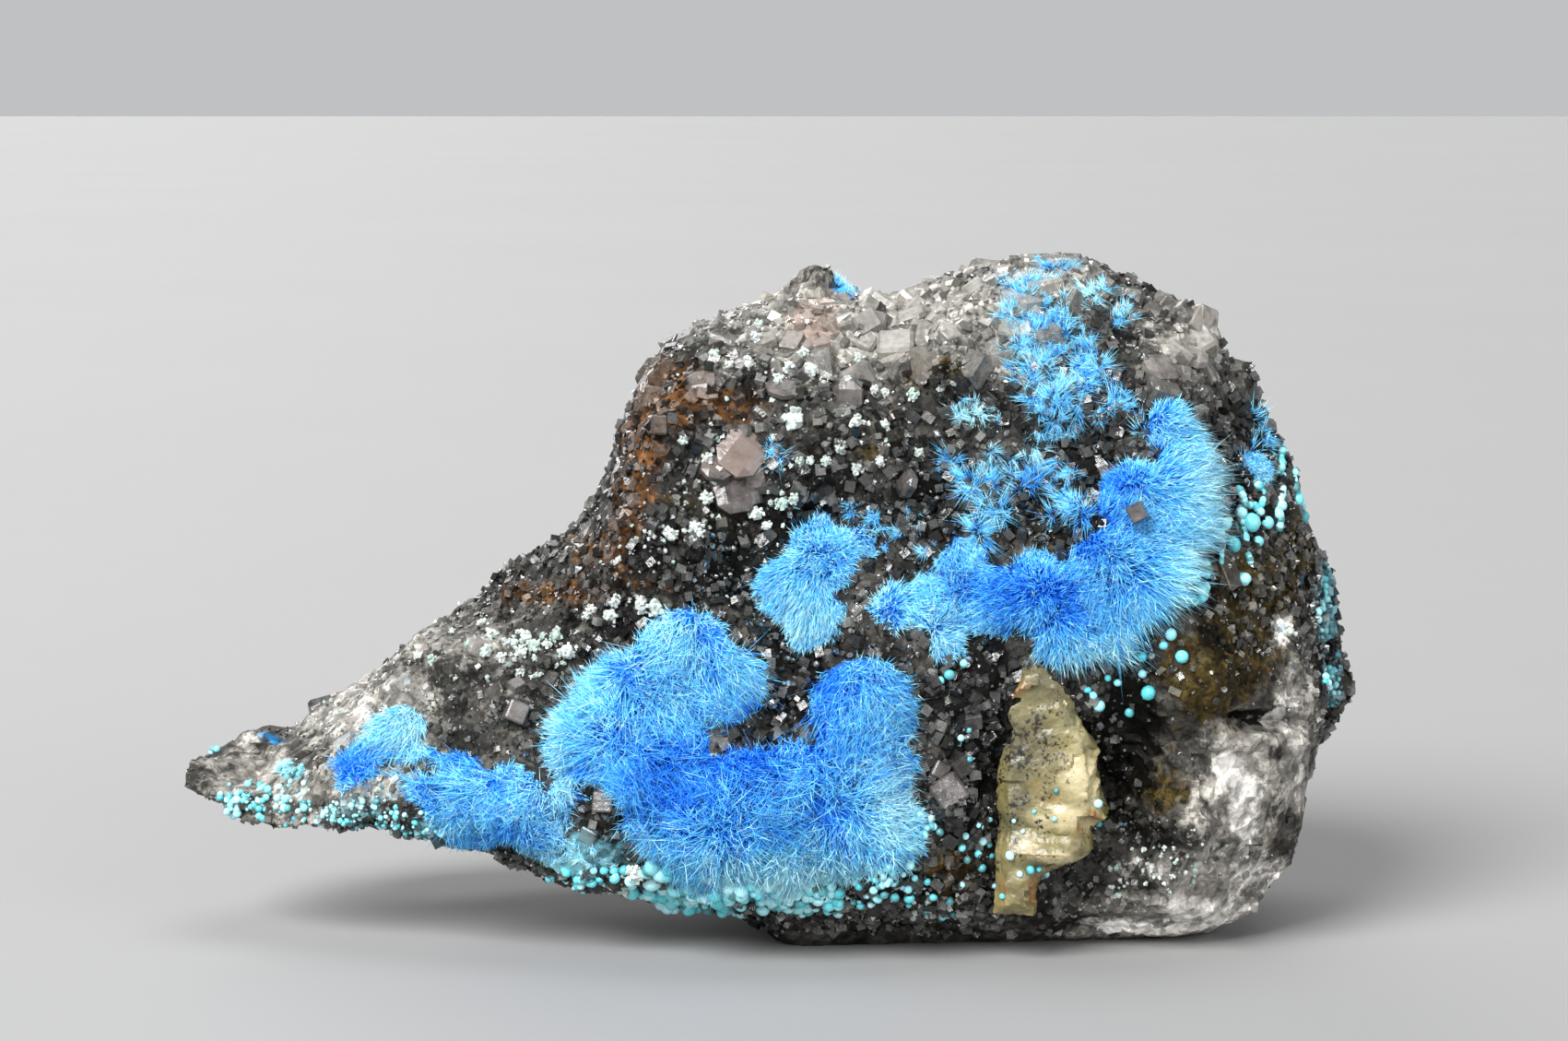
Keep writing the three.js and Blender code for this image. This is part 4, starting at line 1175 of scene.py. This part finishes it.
def facets(points, size, seed):
    """Broken facets: each cell of a scatter of points is a small plane, raised and tipped at random."""
    noise.seed_set(SEEDS["facets"])
    raised, tipped = 0.5, 0.55
    raised_step, tipped_step = 5.17, 7.31
    heights = np.empty(len(points))
    for i, point in enumerate(points / size + seed):
        centre = noise.voronoi(Vector(point))[1][0]
        tip = noise.noise_vector(centre * tipped_step).dot(Vector(point) - centre)
        heights[i] = raised * noise.noise(centre * raised_step) + tipped * tip
    return heights


def waves(points, size, seed):
    """Smooth lumps, about -1 to 1."""
    return np.array([noise.noise(Vector(point)) for point in points / size + seed])


def standing(node, points, normals):
    """How far a solid stands above points of the rock, 0 where it doesn't reach down to them."""
    tree = node_tree(node)
    low, high = np.array(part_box(node))
    near = np.all((points > low - FUR_MARGIN) & (points < high + FUR_MARGIN), axis=1)
    heights = np.zeros(len(points))
    for i in np.flatnonzero(near):
        upward = Vector(normals[i])
        foot = Vector(points[i]) - upward * FUR_SINK
        hit, side, _, distance = tree.ray_cast(foot, upward, FUR_REACH)
        if hit is None or (side.dot(upward) < 0 and distance > 4 * FUR_SINK):
            continue
        above = tree.ray_cast(foot + upward * FUR_REACH, -upward, FUR_REACH)[3]
        heights[i] = max(0.0, FUR_REACH - FUR_SINK - (above or FUR_REACH))
    return heights


def fur_share(node, points):
    """How thickly a fur grows at points of the rock: less in the gaps, nothing outside its outline."""
    thickest, thinning, thinnest = 1.2, 1.6, 0.02
    share = np.clip(thickest - thinning * patches_at(points, NEEDLE_GAPS), thinnest, 1)
    return share * within(points, FUR_OUTLINES[node]) if node in FUR_OUTLINES else share


def remeshed(node, name, voxel):
    """A CAD node's copy as an even mesh: the piece, its points, normals and how far they face the view."""
    piece = node_copy(node, name)
    apply_modifier(piece, "REMESH", mode="VOXEL", voxel_size=voxel)
    normals = points_of(piece.data, "normal")
    steepness, wrap = 3, 0.4
    facing = np.clip(-(normals @ camera_axes()[3]) * steepness + wrap, 0, 1)
    return piece, points_of(piece.data), normals, facing


def finished(piece, points, material, sharpest, slot, node):
    """Moves a piece's points, gives it its material, and hands it to the frame in place of its node."""
    piece.data.vertices.foreach_set("co", points.astype(np.float32).ravel())
    piece.data.materials.append(material)
    select_only(piece)
    bpy.ops.object.shade_smooth_by_angle(angle=math.radians(sharpest))
    placed(piece, slot, node)


# The pieces


class SPECIMEN_OT_stage(bpy.types.Operator):
    """Add the floor, the soft studio lights and the camera"""

    bl_idname = "specimen.stage"
    bl_label = "Stage"

    def execute(self, context):
        stage = context.scene.specimen_stage
        bpy.ops.object.select_all(action="DESELECT")
        bpy.ops.mesh.primitive_plane_add(size=FLOOR_SIZE, location=(0, 0, 0))
        floor = context.object
        floor.name = "floor"
        floor.data.materials.append(floor_material())
        context.scene.world = self.backdrop()
        for name, (toward, strength, softness) in LAMPS.items():
            bpy.ops.object.light_add(type="SUN", location=(0, 0, LAMP_HEIGHT))
            lamp = context.object
            lamp.name = name
            lamp.data.energy = strength * stage.light
            lamp.data.angle = math.radians(softness)
            lamp.rotation_euler = Vector(toward).to_track_quat("-Z", "Y").to_euler()
        eye, _, _, forward = camera_axes()
        bpy.ops.object.camera_add(location=eye)
        camera = context.object
        camera.rotation_euler = Vector(forward).to_track_quat("-Z", "Y").to_euler()
        camera.data.lens = stage.lens
        camera.data.sensor_width = SENSOR_WIDTH
        camera.data.clip_start = NEAREST_SEEN
        context.scene.camera = camera
        context.scene.view_settings.view_transform = "Standard"
        return {"FINISHED"}

    def backdrop(self):
        """A studio's dim surroundings, pale low down behind the specimen."""
        world = bpy.data.worlds.new("Studio")
        world.use_nodes = True
        shader = Shader(world.node_tree)
        direction = shader.add("ShaderNodeTexCoord").outputs["Generated"]
        height = shader.add("ShaderNodeSeparateXYZ", {"Vector": direction}).outputs["Z"]
        surroundings = world.node_tree.nodes["Background"].inputs
        surroundings["Color"].default_value = SURROUNDINGS
        strength = shader.span(height, *HORIZON_BAND, HORIZON_STRENGTH, SKY_STRENGTH)
        shader.feed(surroundings["Strength"], strength)
        return world


class SPECIMEN_OT_rock(bpy.types.Operator):
    """Build the rock with its broken facets, grains and stained zones"""

    bl_idname = "specimen.rock"
    bl_label = "Rock"

    def execute(self, context):
        rock = context.scene.specimen_rock
        piece, points, normals, facing = remeshed("matrix", "matrix_rock", rock.voxel)
        mesh = piece.data
        cover = np.max([standing(node, points, normals) * fur_share(node, points) for node in FURS], axis=0)
        bare = np.clip(patches_at(points, BARE_PATCHES) * facing, 0, 1)
        large = facets(points, rock.facet, seed=3.7)
        small = facets(points, rock.grain, seed=9.1)
        rise = facets(points, rock.ledge, seed=5.3) * LEDGE_RISE * bare
        rise = rise + large * (FACET_RISE + BARE_FACET_RISE * bare) + small * GRAIN_RISE
        rise = rise + waves(points, 0.5 * rock.grain, seed=1.3) * FINE_RISE
        smoothed = 0.7 * np.clip(cover / MM, 0, 1)
        rise = rise * (1 - smoothed) - ROCK_SETTLE
        rise = (rise + patches_at(points, RELIEF_PATCHES) * facing) * MM
        seated = np.clip(points[:, 2] / FOOT_HEIGHT, 0, 1)
        moved = inside_box(points + normals * (rise * seated)[:, None])
        set_attribute(mesh, "broad_normal", normals)
        set_attribute(mesh, "cover", cover)
        # The relief's low places, which the rock's colour darkens as painted shade
        set_attribute(mesh, "hollow", np.clip((large + small) * 1.5 + 0.5 * bare, -1, 1))
        self.stain(mesh, points, facing)
        finished(piece, moved, rock_material(), 32, "rock", "matrix")
        return {"FINISHED"}

    def stain(self, mesh, points, facing):
        """Stores the colour zones: listed on the face, and in blotches behind."""
        blotches = waves(points, 9 * MM, seed=4.4)
        behind = {
            "pale": np.clip(0.4 + blotches, 0, 0.9),
            "dark": np.clip(-blotches * 1.4, 0, 0.6),
            "rust": np.clip(waves(points, 12 * MM, seed=8.8) - 0.1, 0, 0.7),
            "brown": np.clip(waves(points, 14 * MM, seed=2.2), 0, 0.6),
        }
        for name, patches in ZONE_PATCHES.items():
            zone = patches_at(points, patches) * facing
            set_attribute(mesh, name, zone + behind.get(name, 0) * (1 - facing))


class SPECIMEN_OT_druse(bpy.types.Operator):
    """Grow the small quartz crystals all over the rock, and the larger ones on it"""

    bl_idname = "specimen.druse"
    bl_label = "Druse"

    def execute(self, context):
        rock = context.scene.specimen_rock
        surface = rock_surface()
        rng = np.random.default_rng(SEEDS["druse"])
        open_ground = np.clip(1 - surface.zones["cover"] / FUR_HIDES, 0, 1)
        open_ground = open_ground * (surface.centres[:, 2] > FOOT_HEIGHT)
        grown = np.clip(1.15 - 2.2 * patches_at(surface.centres, BARE_PATCHES), 0.03, 1)
        sugary = np.clip(patches_at(surface.centres, SUGARY_PATCHES), 0, 1)
        front = open_ground * grown * (1 - 0.55 * sugary) * np.clip(surface.facing * 2 + 0.2, 0, 1)
        behind = open_ground * np.clip(0.5 - surface.facing * 2, 0, 1)
        clear = quartz_material(
            "Grey quartz druse", rock.clear, transmission=0.65, roughness=0.05, cloudy=0.45
        )
        point, cube = quartz_point(), quartz_cube()
        self.sow("quartz_points_face", point, rock.point_count, front, clear, rng)
        self.sow("quartz_cubes_face", cube, rock.cube_count, front, clear, rng)
        self.sow("quartz_points_back", point, rock.back_count, behind, clear, rng)
        self.crest(rock, open_ground * grown * sugary**1.5, rng)
        self.large(rock, rng)
        return {"FINISHED"}

    def sow(self, name, model, count, weights, material, rng):
        """One piece of small crystals scattered by weight, small ones far more often than large ones."""
        places, normals, chosen = rock_surface().scatter(count, weights, rng)
        shrink = 1 - 0.55 * np.clip(patches_at(places, FINE_PATCHES), 0, 1)
        size = (CRYSTAL_LEAST + CRYSTAL_SPAN * rng.random(count) ** 2.5) * shrink * MM
        stretch = rng.uniform(0.8, 1.25, (count, 3))
        crystals = copies_of(model, places, normals, size[:, None] * stretch, rng, tilt=0.45)
        # Most small crystals get low tones; the few with high tones become painted glints
        self.stand(name, model, crystals, chosen, material, rng.random(count) ** 2.6)

    def crest(self, rock, weights, rng):
        """The fused blocks of the pale upper band, sunk in one another."""
        block = worn_block(0.2)
        count = rock.crest_count
        places, normals, chosen = rock_surface().scatter(count, weights, rng)
        size = (CREST_LEAST + CREST_SPAN * rng.random(count) ** 2)[:, None]
        size = size * rng.uniform(0.8, 1.2, (count, 3)) * MM
        blocks = copies_of(block, places - normals * size * 0.65, normals, size, rng, tilt=0.45)
        milky = quartz_material(
            "Milky quartz blocks", rock.milky, transmission=0.55, roughness=0.14, cloudy=0.5
        )
        self.stand("crest_crystals", block, blocks, chosen, milky, rng.uniform(0.2, 0.36, count))

    def large(self, rock, rng):
        """The few large crystals that stand out one by one."""
        smoky = quartz_material("Smoky crystals", rock.smoky, transmission=0.5, roughness=0.14, cloudy=0.75)
        for name, model, spots in (
            ("fused_crystals", worn_block(0.5), FUSED_BLOCKS),
            ("cube_crystals", worn_block(0.16), CUBE_CRYSTALS),
        ):
            places, normals, chosen, half = rock_surface().seen_list(spots)
            crystals = copies_of(model, places, normals, half * MM, rng, tilt=0.16)
            self.stand(name, model, crystals, chosen, smoky, rng.uniform(0.2, 0.34, len(places)))

    def stand(self, name, model, crystals, chosen, material, tones_and_glints):
        """Makes a piece of crystals with the zones of the rock under them, each in a tone of its own; high
        tones are painted glints.
        """
        zones = rock_surface().zones_at(chosen, model)
        piece = array_piece(name, *crystals, material, tone=per_point(tones_and_glints, model), **zones)
        placed(piece, "rock")


class SPECIMEN_OT_balls(bpy.types.Operator):
    """Scatter the little white drusy balls, each a core crusted with tiny blocks"""

    bl_idname = "specimen.balls"
    bl_label = "White balls"

    def execute(self, context):
        rng = np.random.default_rng(SEEDS["balls"])
        core, cube = round_ball(1), quartz_cube()
        spots = [*WHITE_BALLS, *banded(BALL_BANDS, rng)]
        places, normals, _, radii = rock_surface().seen_list(spots)
        swell, rise = 1.15, 0.25
        radii = radii[:, 0] * swell * MM
        centres = places + normals * radii[:, None] * rise
        size = radii[:, None] * rng.uniform(0.6, 0.85, (len(radii), 3))
        cores = copies_of(core, centres, normals, size, rng, tilt=0.3)
        blocks = len(radii) * BALL_BLOCKS
        upward = np.repeat(normals, BALL_BLOCKS, axis=0)
        outward = normalised(upward * 0.5 + rng.normal(size=(blocks, 3)))
        reach = np.repeat(radii, BALL_BLOCKS)[:, None]
        seats = outward * reach * rng.uniform(0.6, 0.86, (blocks, 1))
        seats = np.repeat(centres, BALL_BLOCKS, axis=0) + seats
        grain = reach * rng.uniform(0.14, 0.3, (blocks, 3))
        crust = copies_of(cube, seats, outward, grain, rng, tilt=0.5)
        tone = rng.random(len(radii))
        tone = np.concatenate([per_point(tone, core), per_point(np.repeat(tone, BALL_BLOCKS), cube)])
        piece = array_piece("white_balls", *joined_arrays(cores, crust), ball_material(), tone=tone)
        placed(piece, "rock")
        return {"FINISHED"}


# Needles that grow together: where, which way and how far, how they bend, and how fine and pale they are
Growth = namedtuple("Growth", "roots directions lengths sway finesse paleness bends")


def spikes(roots, directions, lengths, thickness, sway, bent, rng):
    """Closed three-sided needles, straight or bent: points, triangles and how far along each point is."""
    turns = np.arange(3) * 2 * math.pi / 3
    first, second = side_axes(directions, rng)
    ring = np.cos(turns)[None, :, None] * first[:, None] + np.sin(turns)[None, :, None] * second[:, None]
    ring = ring * (0.5 * thickness)[:, None, None]
    tips = roots + (directions + sway) * lengths[:, None]
    foot = roots[:, None] + ring
    if bent:
        middle = roots + (0.5 * directions + 0.3 * sway) * lengths[:, None]
        points = np.concatenate([foot, middle[:, None] + 0.8 * ring, tips[:, None]], axis=1)
        lower = [(i, (i + 1) % 3, 3 + i) for i in range(3)]
        upper = [((i + 1) % 3, 3 + (i + 1) % 3, 3 + i) for i in range(3)]
        faces = np.array([*lower, *upper, (3, 4, 6), (4, 5, 6), (5, 3, 6), (2, 1, 0)])
        share = [0, 0, 0, 0.5, 0.5, 0.5, 1.0]
    else:
        points = np.concatenate([foot, tips[:, None]], axis=1)
        faces = np.array([(0, 1, 3), (1, 2, 3), (2, 0, 3), (2, 1, 0)])
        share = [0, 0, 0, 1.0]
    triangles = faces[None] + (np.arange(len(roots)) * len(share))[:, None, None]
    return points.reshape(-1, 3), triangles.reshape(-1, 3), np.tile(share, len(roots))


class SPECIMEN_OT_needles(bpy.types.Operator):
    """Grow the blue needles in place of their solids"""

    bl_idname = "specimen.needles"
    bl_label = "Blue needles"

    def execute(self, context):
        material = needle_material()
        for number, (node, fur) in enumerate(FURS.items()):
            rng = np.random.default_rng(SEEDS["furs"] + number)
            growths = [*self.fur(context, node, fur, rng)]
            if "sprays" in fur:
                growths.append(self.spray(fur["sprays"], rng))
            self.grow(context, node, growths, material, rng)
        for number, (node, (crowns, bands)) in enumerate(SPRAYS.items()):
            rng = np.random.default_rng(SEEDS["sprays"] + number)
            growths = [self.spray([*crowns, *banded(bands, rng)], rng)]
            self.grow(context, node, growths, material, rng)
        return {"FINISHED"}

    def grow(self, context, node, growths, material, rng):
        """Makes the piece of one blue node from its growths of needles."""
        thickness = context.scene.specimen_needles.thickness
        parts, alongs, shades = [], [], []
        for growth in growths:
            count = len(growth.roots)
            thick = thickness * growth.finesse * rng.uniform(0.75, 1.2, count)
            shade = self.shade(growth.roots, rng) + growth.paleness
            bending = rng.random(count) < growth.bends
            feet = growth.roots - growth.directions * ROOT_DEPTH
            for bent in (False, True):
                these = bending == bent
                columns = feet, growth.directions, growth.lengths, thick, growth.sway
                points, triangles, along = spikes(*(column[these] for column in columns), bent, rng)
                parts.append((points, triangles))
                alongs.append(along)
                shades.append(np.repeat(shade[these], len(along) // max(1, these.sum())))
        values = {"along": np.concatenate(alongs), "shade": np.concatenate(shades)}
        name = node.replace("blue_", "needles_")
        piece = array_piece(name, *joined_arrays(*parts), material, smooth=True, **values)
        placed(piece, "blue_needles", node)

    def shade(self, roots, rng):
        """How pale each needle is, from 0 in the deep blue cores to 1."""
        shade = 0.5 + 0.2 * waves(roots, 1.6 * MM, seed=5.5) + rng.normal(0, 0.2, len(roots))
        shade = shade + patches_at(roots, PALE_BLUE_PATCHES) - patches_at(roots, DEEP_PATCHES)
        return np.clip(shade, 0, 1)

    def fur(self, context, node, fur, rng):
        """Needles all over the rock under a solid, up to its surface, and the loose hairs on them."""
        settings = context.scene.specimen_needles
        surface = rock_surface()
        tangle = fur["tangle"]
        heights = standing(node, surface.centres, surface.normals)
        clumped = np.clip(0.75 + 1.6 * tangle * waves(surface.centres, 1.5 * MM, seed=6.1), 0.15, 1)
        share = fur_share(node, surface.centres) * (heights > FUR_LEAST) * clumped
        roots, normals, chosen = surface.scatter(fur["count"], share, rng)
        lean = self.parting(node, fur["crowns"], roots, normals)
        clumps = np.stack([waves(roots, 1.1 * MM, seed) for seed in (1.7, 4.9, 8.3)], axis=1)
        stray = settings.jitter * tangle * rng.normal(size=roots.shape)
        directions = normalised(normals + lean + (0.35 + 0.9 * tangle) * clumps + stray)
        lengths = self.up_to_solid(node, tangle, roots, directions, heights[chosen], rng)
        sway = 0.16 * rng.normal(size=roots.shape) + 0.12 * lean
        stout = Growth(roots, directions, lengths, sway, finesse=1.0, paleness=0.0, bends=settings.bent)
        return stout, self.loose_hairs(stout, settings.hairs, tangle, lean, rng)

    def parting(self, node, crowns, roots, normals):
        """How each needle leans away from the nearest crown, more so towards the crown's reach."""
        if crowns:
            centres, _, _, numbers = rock_surface().seen_list(crowns)
        else:
            centres, numbers = np.mean(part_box(node), axis=0)[None], np.array([PLAIN_CROWN])
        reaches, leans = numbers.T
        away = roots[:, None] - centres[None]
        nearest = np.argmin(np.linalg.norm(away, axis=2) / reaches, axis=1)
        away = away[np.arange(len(roots)), nearest]
        across = away - normals * np.sum(away * normals, axis=1, keepdims=True)
        far = np.clip(np.linalg.norm(across, axis=1) / (reaches[nearest] * MM), 0, 1.25)
        return (leans[nearest] * far**0.7)[:, None] * normalised(across)

    def up_to_solid(self, node, tangle, roots, directions, heights, rng):
        """Lengths that end at the solid's surface, uneven where tangled and short where felted."""
        tree = node_tree(node)
        lengths = 0.7 * heights
        for i, (root, direction) in enumerate(zip(roots, directions)):
            distance = tree.ray_cast(Vector(root + direction * FUR_REACH), Vector(-direction), FUR_REACH)[3]
            if distance is not None:
                lengths[i] = FUR_REACH - distance
        shortest, longest = 0.5 * MM, 1.5 * heights + 0.6 * MM
        uneven = 0.92 + 0.5 * tangle * waves(roots, 1.9 * MM, seed=7.4)
        spread = rng.uniform(0.9 - 0.7 * tangle, 1.08, len(roots))
        lengths = np.clip(lengths, shortest, longest) * uneven * spread
        lengths = lengths * (1 - patches_at(roots, FELT_PATCHES))
        return lengths * np.where(rng.random(len(roots)) < 0.05 * tangle, 1.5, 1.0)

    def loose_hairs(self, stout, share, tangle, lean, rng):
        """Fine hairs that start part of the way up some of the stout needles and lie across the others."""
        picked = rng.choice(len(stout.roots), round(share * len(stout.roots)), replace=False)
        start = rng.uniform(0.25, 0.8, len(picked))
        directions, lengths = stout.directions[picked], stout.lengths[picked]
        roots = stout.roots[picked] + directions * (lengths * start)[:, None]
        loose = directions + 0.3 * lean[picked] + 1.2 * tangle * rng.normal(size=roots.shape)
        longest = (1.05 - start) * lengths + 0.3 * MM
        reach = np.minimum(rng.uniform(0.8, 2.6, len(picked)) * MM, longest)
        sway = tangle * 0.6 * rng.normal(size=roots.shape)
        return Growth(roots, normalised(loose), reach, sway, finesse=0.7, paleness=0.26, bends=0.3)

    def spray(self, crowns, rng):
        """Open sprays: each crown throws a few splayed sheaves of needles."""
        places, normals, _, reaches = rock_surface().seen_list(crowns)
        upward = np.repeat(normals, SHEAVES, axis=0)
        first, second = side_axes(upward, rng)
        turn = rng.uniform(0, 2 * math.pi, len(upward))[:, None]
        spread = np.sqrt(rng.random((len(upward), 1)))
        across = np.cos(turn) * first + np.sin(turn) * second
        leaning = normalised(upward * (1.1 - 0.75 * spread) + across * (0.25 + spread))
        reach = np.repeat(reaches[:, 0], SHEAVES) * rng.uniform(0.55, 1.0, len(upward)) * MM
        roots = np.repeat(places, SHEAVES, axis=0) + across * spread * reach[:, None] * 0.25
        roots, leaning, reach = (np.repeat(each, SHEAF_NEEDLES, axis=0) for each in (roots, leaning, reach))
        roots = roots + rng.normal(size=roots.shape) * 0.1 * MM
        directions = normalised(leaning + 0.17 * rng.normal(size=roots.shape))
        lengths = reach * rng.uniform(0.4, 1.25, len(roots))
        sway = 0.08 * rng.normal(size=roots.shape)
        return Growth(roots, directions, lengths, sway, finesse=0.62, paleness=0.16, bends=0.1)


class SPECIMEN_OT_blade(bpy.types.Operator):
    """Carve the yellow blade with its stepped, broken flank"""

    bl_idname = "specimen.blade"
    bl_label = "Yellow blade"

    def execute(self, context):
        voxel = context.scene.specimen_growth.blade_voxel
        piece, points, normals, facing = remeshed("yellow_blade", "blade_crystal", voxel)
        low, high = np.array(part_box("yellow_blade"))
        flank = np.clip(2.4 * (points[:, 0] - low[0]) / (high[0] - low[0]) - 1.1, 0, 1)
        steps = facets(points * (1.0, 1.0, 1.6), 1.7 * MM, seed=2.9) * (0.35 + 0.65 * flank)
        rise = steps * STEP_RISE + facets(points, 0.6 * MM, seed=7.7) * CHIP_RISE
        rise = rise + BLADE_FINE_RISE * waves(points, 0.35 * MM, seed=3.1) - BLADE_SETTLE
        rise = rise + patches_at(points, BLADE_RELIEF) * facing
        moved = points + normals * (rise * MM)[:, None]
        moved[:, 0] -= patches_at(points, BLADE_WIDENING) * MM
        for name, patches in BLADE_PATCHES.items():
            set_attribute(piece.data, name, patches_at(points, patches) * facing)
        finished(piece, moved, blade_material(), 30, "yellow_blade", "yellow_blade")
        return {"FINISHED"}


class SPECIMEN_OT_beads(bpy.types.Operator):
    """Set the turquoise beads in place of their solids, and the single ones round the blade"""

    bl_idname = "specimen.beads"
    bl_label = "Turquoise beads"

    def execute(self, context):
        rng = np.random.default_rng(SEEDS["beads"])
        material = bead_material()
        strings = [spot for string in BEAD_STRINGS for spot in self.strung(string, rng)]
        self.beads("beads_right", [*BEADS_RIGHT, *strings], material, rng, "turquoise_beads_right")
        for node, bands in BEAD_BANDS.items():
            self.beads(node.replace("turquoise_", "beads_"), banded(bands, rng), material, rng, node)
        self.beads("beads_scattered", BEADS_SCATTERED, material, rng)
        return {"FINISHED"}

    def strung(self, string, rng):
        """Beads close together along a run of places in the photograph."""
        made = []
        for (x0, y0), (x1, y1) in zip(string, string[1:]):
            steps = max(2, round(math.hypot(x1 - x0, y1 - y0) / STRUNG_SPACING))
            for share in np.arange(steps) / steps:
                place = x0 + share * (x1 - x0), y0 + share * (y1 - y0)
                made.append((*place, rng.uniform(*STRUNG_RADII)))
        return made

    def beads(self, name, spots, material, rng, *nodes):
        """One piece of beads at places in the photograph, on the blade where it hides the rock."""
        ball = round_ball(2)
        blade = tree_of(bpy.data.objects["blade_crystal"].data)
        places, normals, _, radii = rock_surface().seen_list(spots)
        seen = [spot for spot in spots if rock_surface().seen_at(*spot[:2])]
        for i, (x, y, _) in enumerate(seen):
            start, direction = photo_ray(x, y)
            hit, normal, _, distance = blade.ray_cast(start, direction)
            if hit is not None and distance < np.linalg.norm(places[i] - np.array(start)):
                places[i], normals[i] = hit, normal
        size = radii * MM * rng.uniform(0.88, 1.1, (len(radii), 3))
        balls = copies_of(ball, places + normals * radii * 0.4 * MM, normals, size, rng, tilt=0.2)
        tone = per_point(rng.random(len(places)), ball)
        placed(array_piece(name, *balls, material, smooth=True, tone=tone), "turquoise", *nodes)


OPERATORS = (
    SPECIMEN_OT_stage,
    SPECIMEN_OT_rock,
    SPECIMEN_OT_druse,
    SPECIMEN_OT_balls,
    SPECIMEN_OT_needles,
    SPECIMEN_OT_blade,
    SPECIMEN_OT_beads,
)
SETTINGS = {
    "specimen_rock": RockSettings,
    "specimen_needles": NeedleSettings,
    "specimen_growth": GrowthSettings,
    "specimen_stage": StageSettings,
}


class SPECIMEN_PT_sidebar(bpy.types.Panel):
    """Lists the specimen's pieces and settings"""

    bl_idname = "SPECIMEN_PT_sidebar"
    bl_label = "Blue Needle Specimen"
    bl_space_type = "VIEW_3D"
    bl_region_type = "UI"
    bl_category = "Specimen"

    def draw(self, context):
        for operator in OPERATORS:
            self.layout.operator(operator.bl_idname)
        for name, group in SETTINGS.items():
            column = self.layout.column()
            for key in group.__annotations__:
                column.prop(getattr(context.scene, name), key)


def register():
    for name, group in SETTINGS.items():
        bpy.utils.register_class(group)
        setattr(bpy.types.Scene, name, PointerProperty(type=group))
    for operator in OPERATORS:
        bpy.utils.register_class(operator)
    bpy.utils.register_class(SPECIMEN_PT_sidebar)


def unregister():
    bpy.utils.unregister_class(SPECIMEN_PT_sidebar)
    for operator in reversed(OPERATORS):
        bpy.utils.unregister_class(operator)
    for name, group in SETTINGS.items():
        delattr(bpy.types.Scene, name)
        bpy.utils.unregister_class(group)


def main():
    """Builds the whole specimen."""
    register()
    bpy.ops.specimen.stage()
    bpy.ops.specimen.rock()
    bpy.ops.specimen.druse()
    bpy.ops.specimen.balls()
    bpy.ops.specimen.needles()
    bpy.ops.specimen.blade()
    bpy.ops.specimen.beads()


if __name__ == "__main__":
    main()
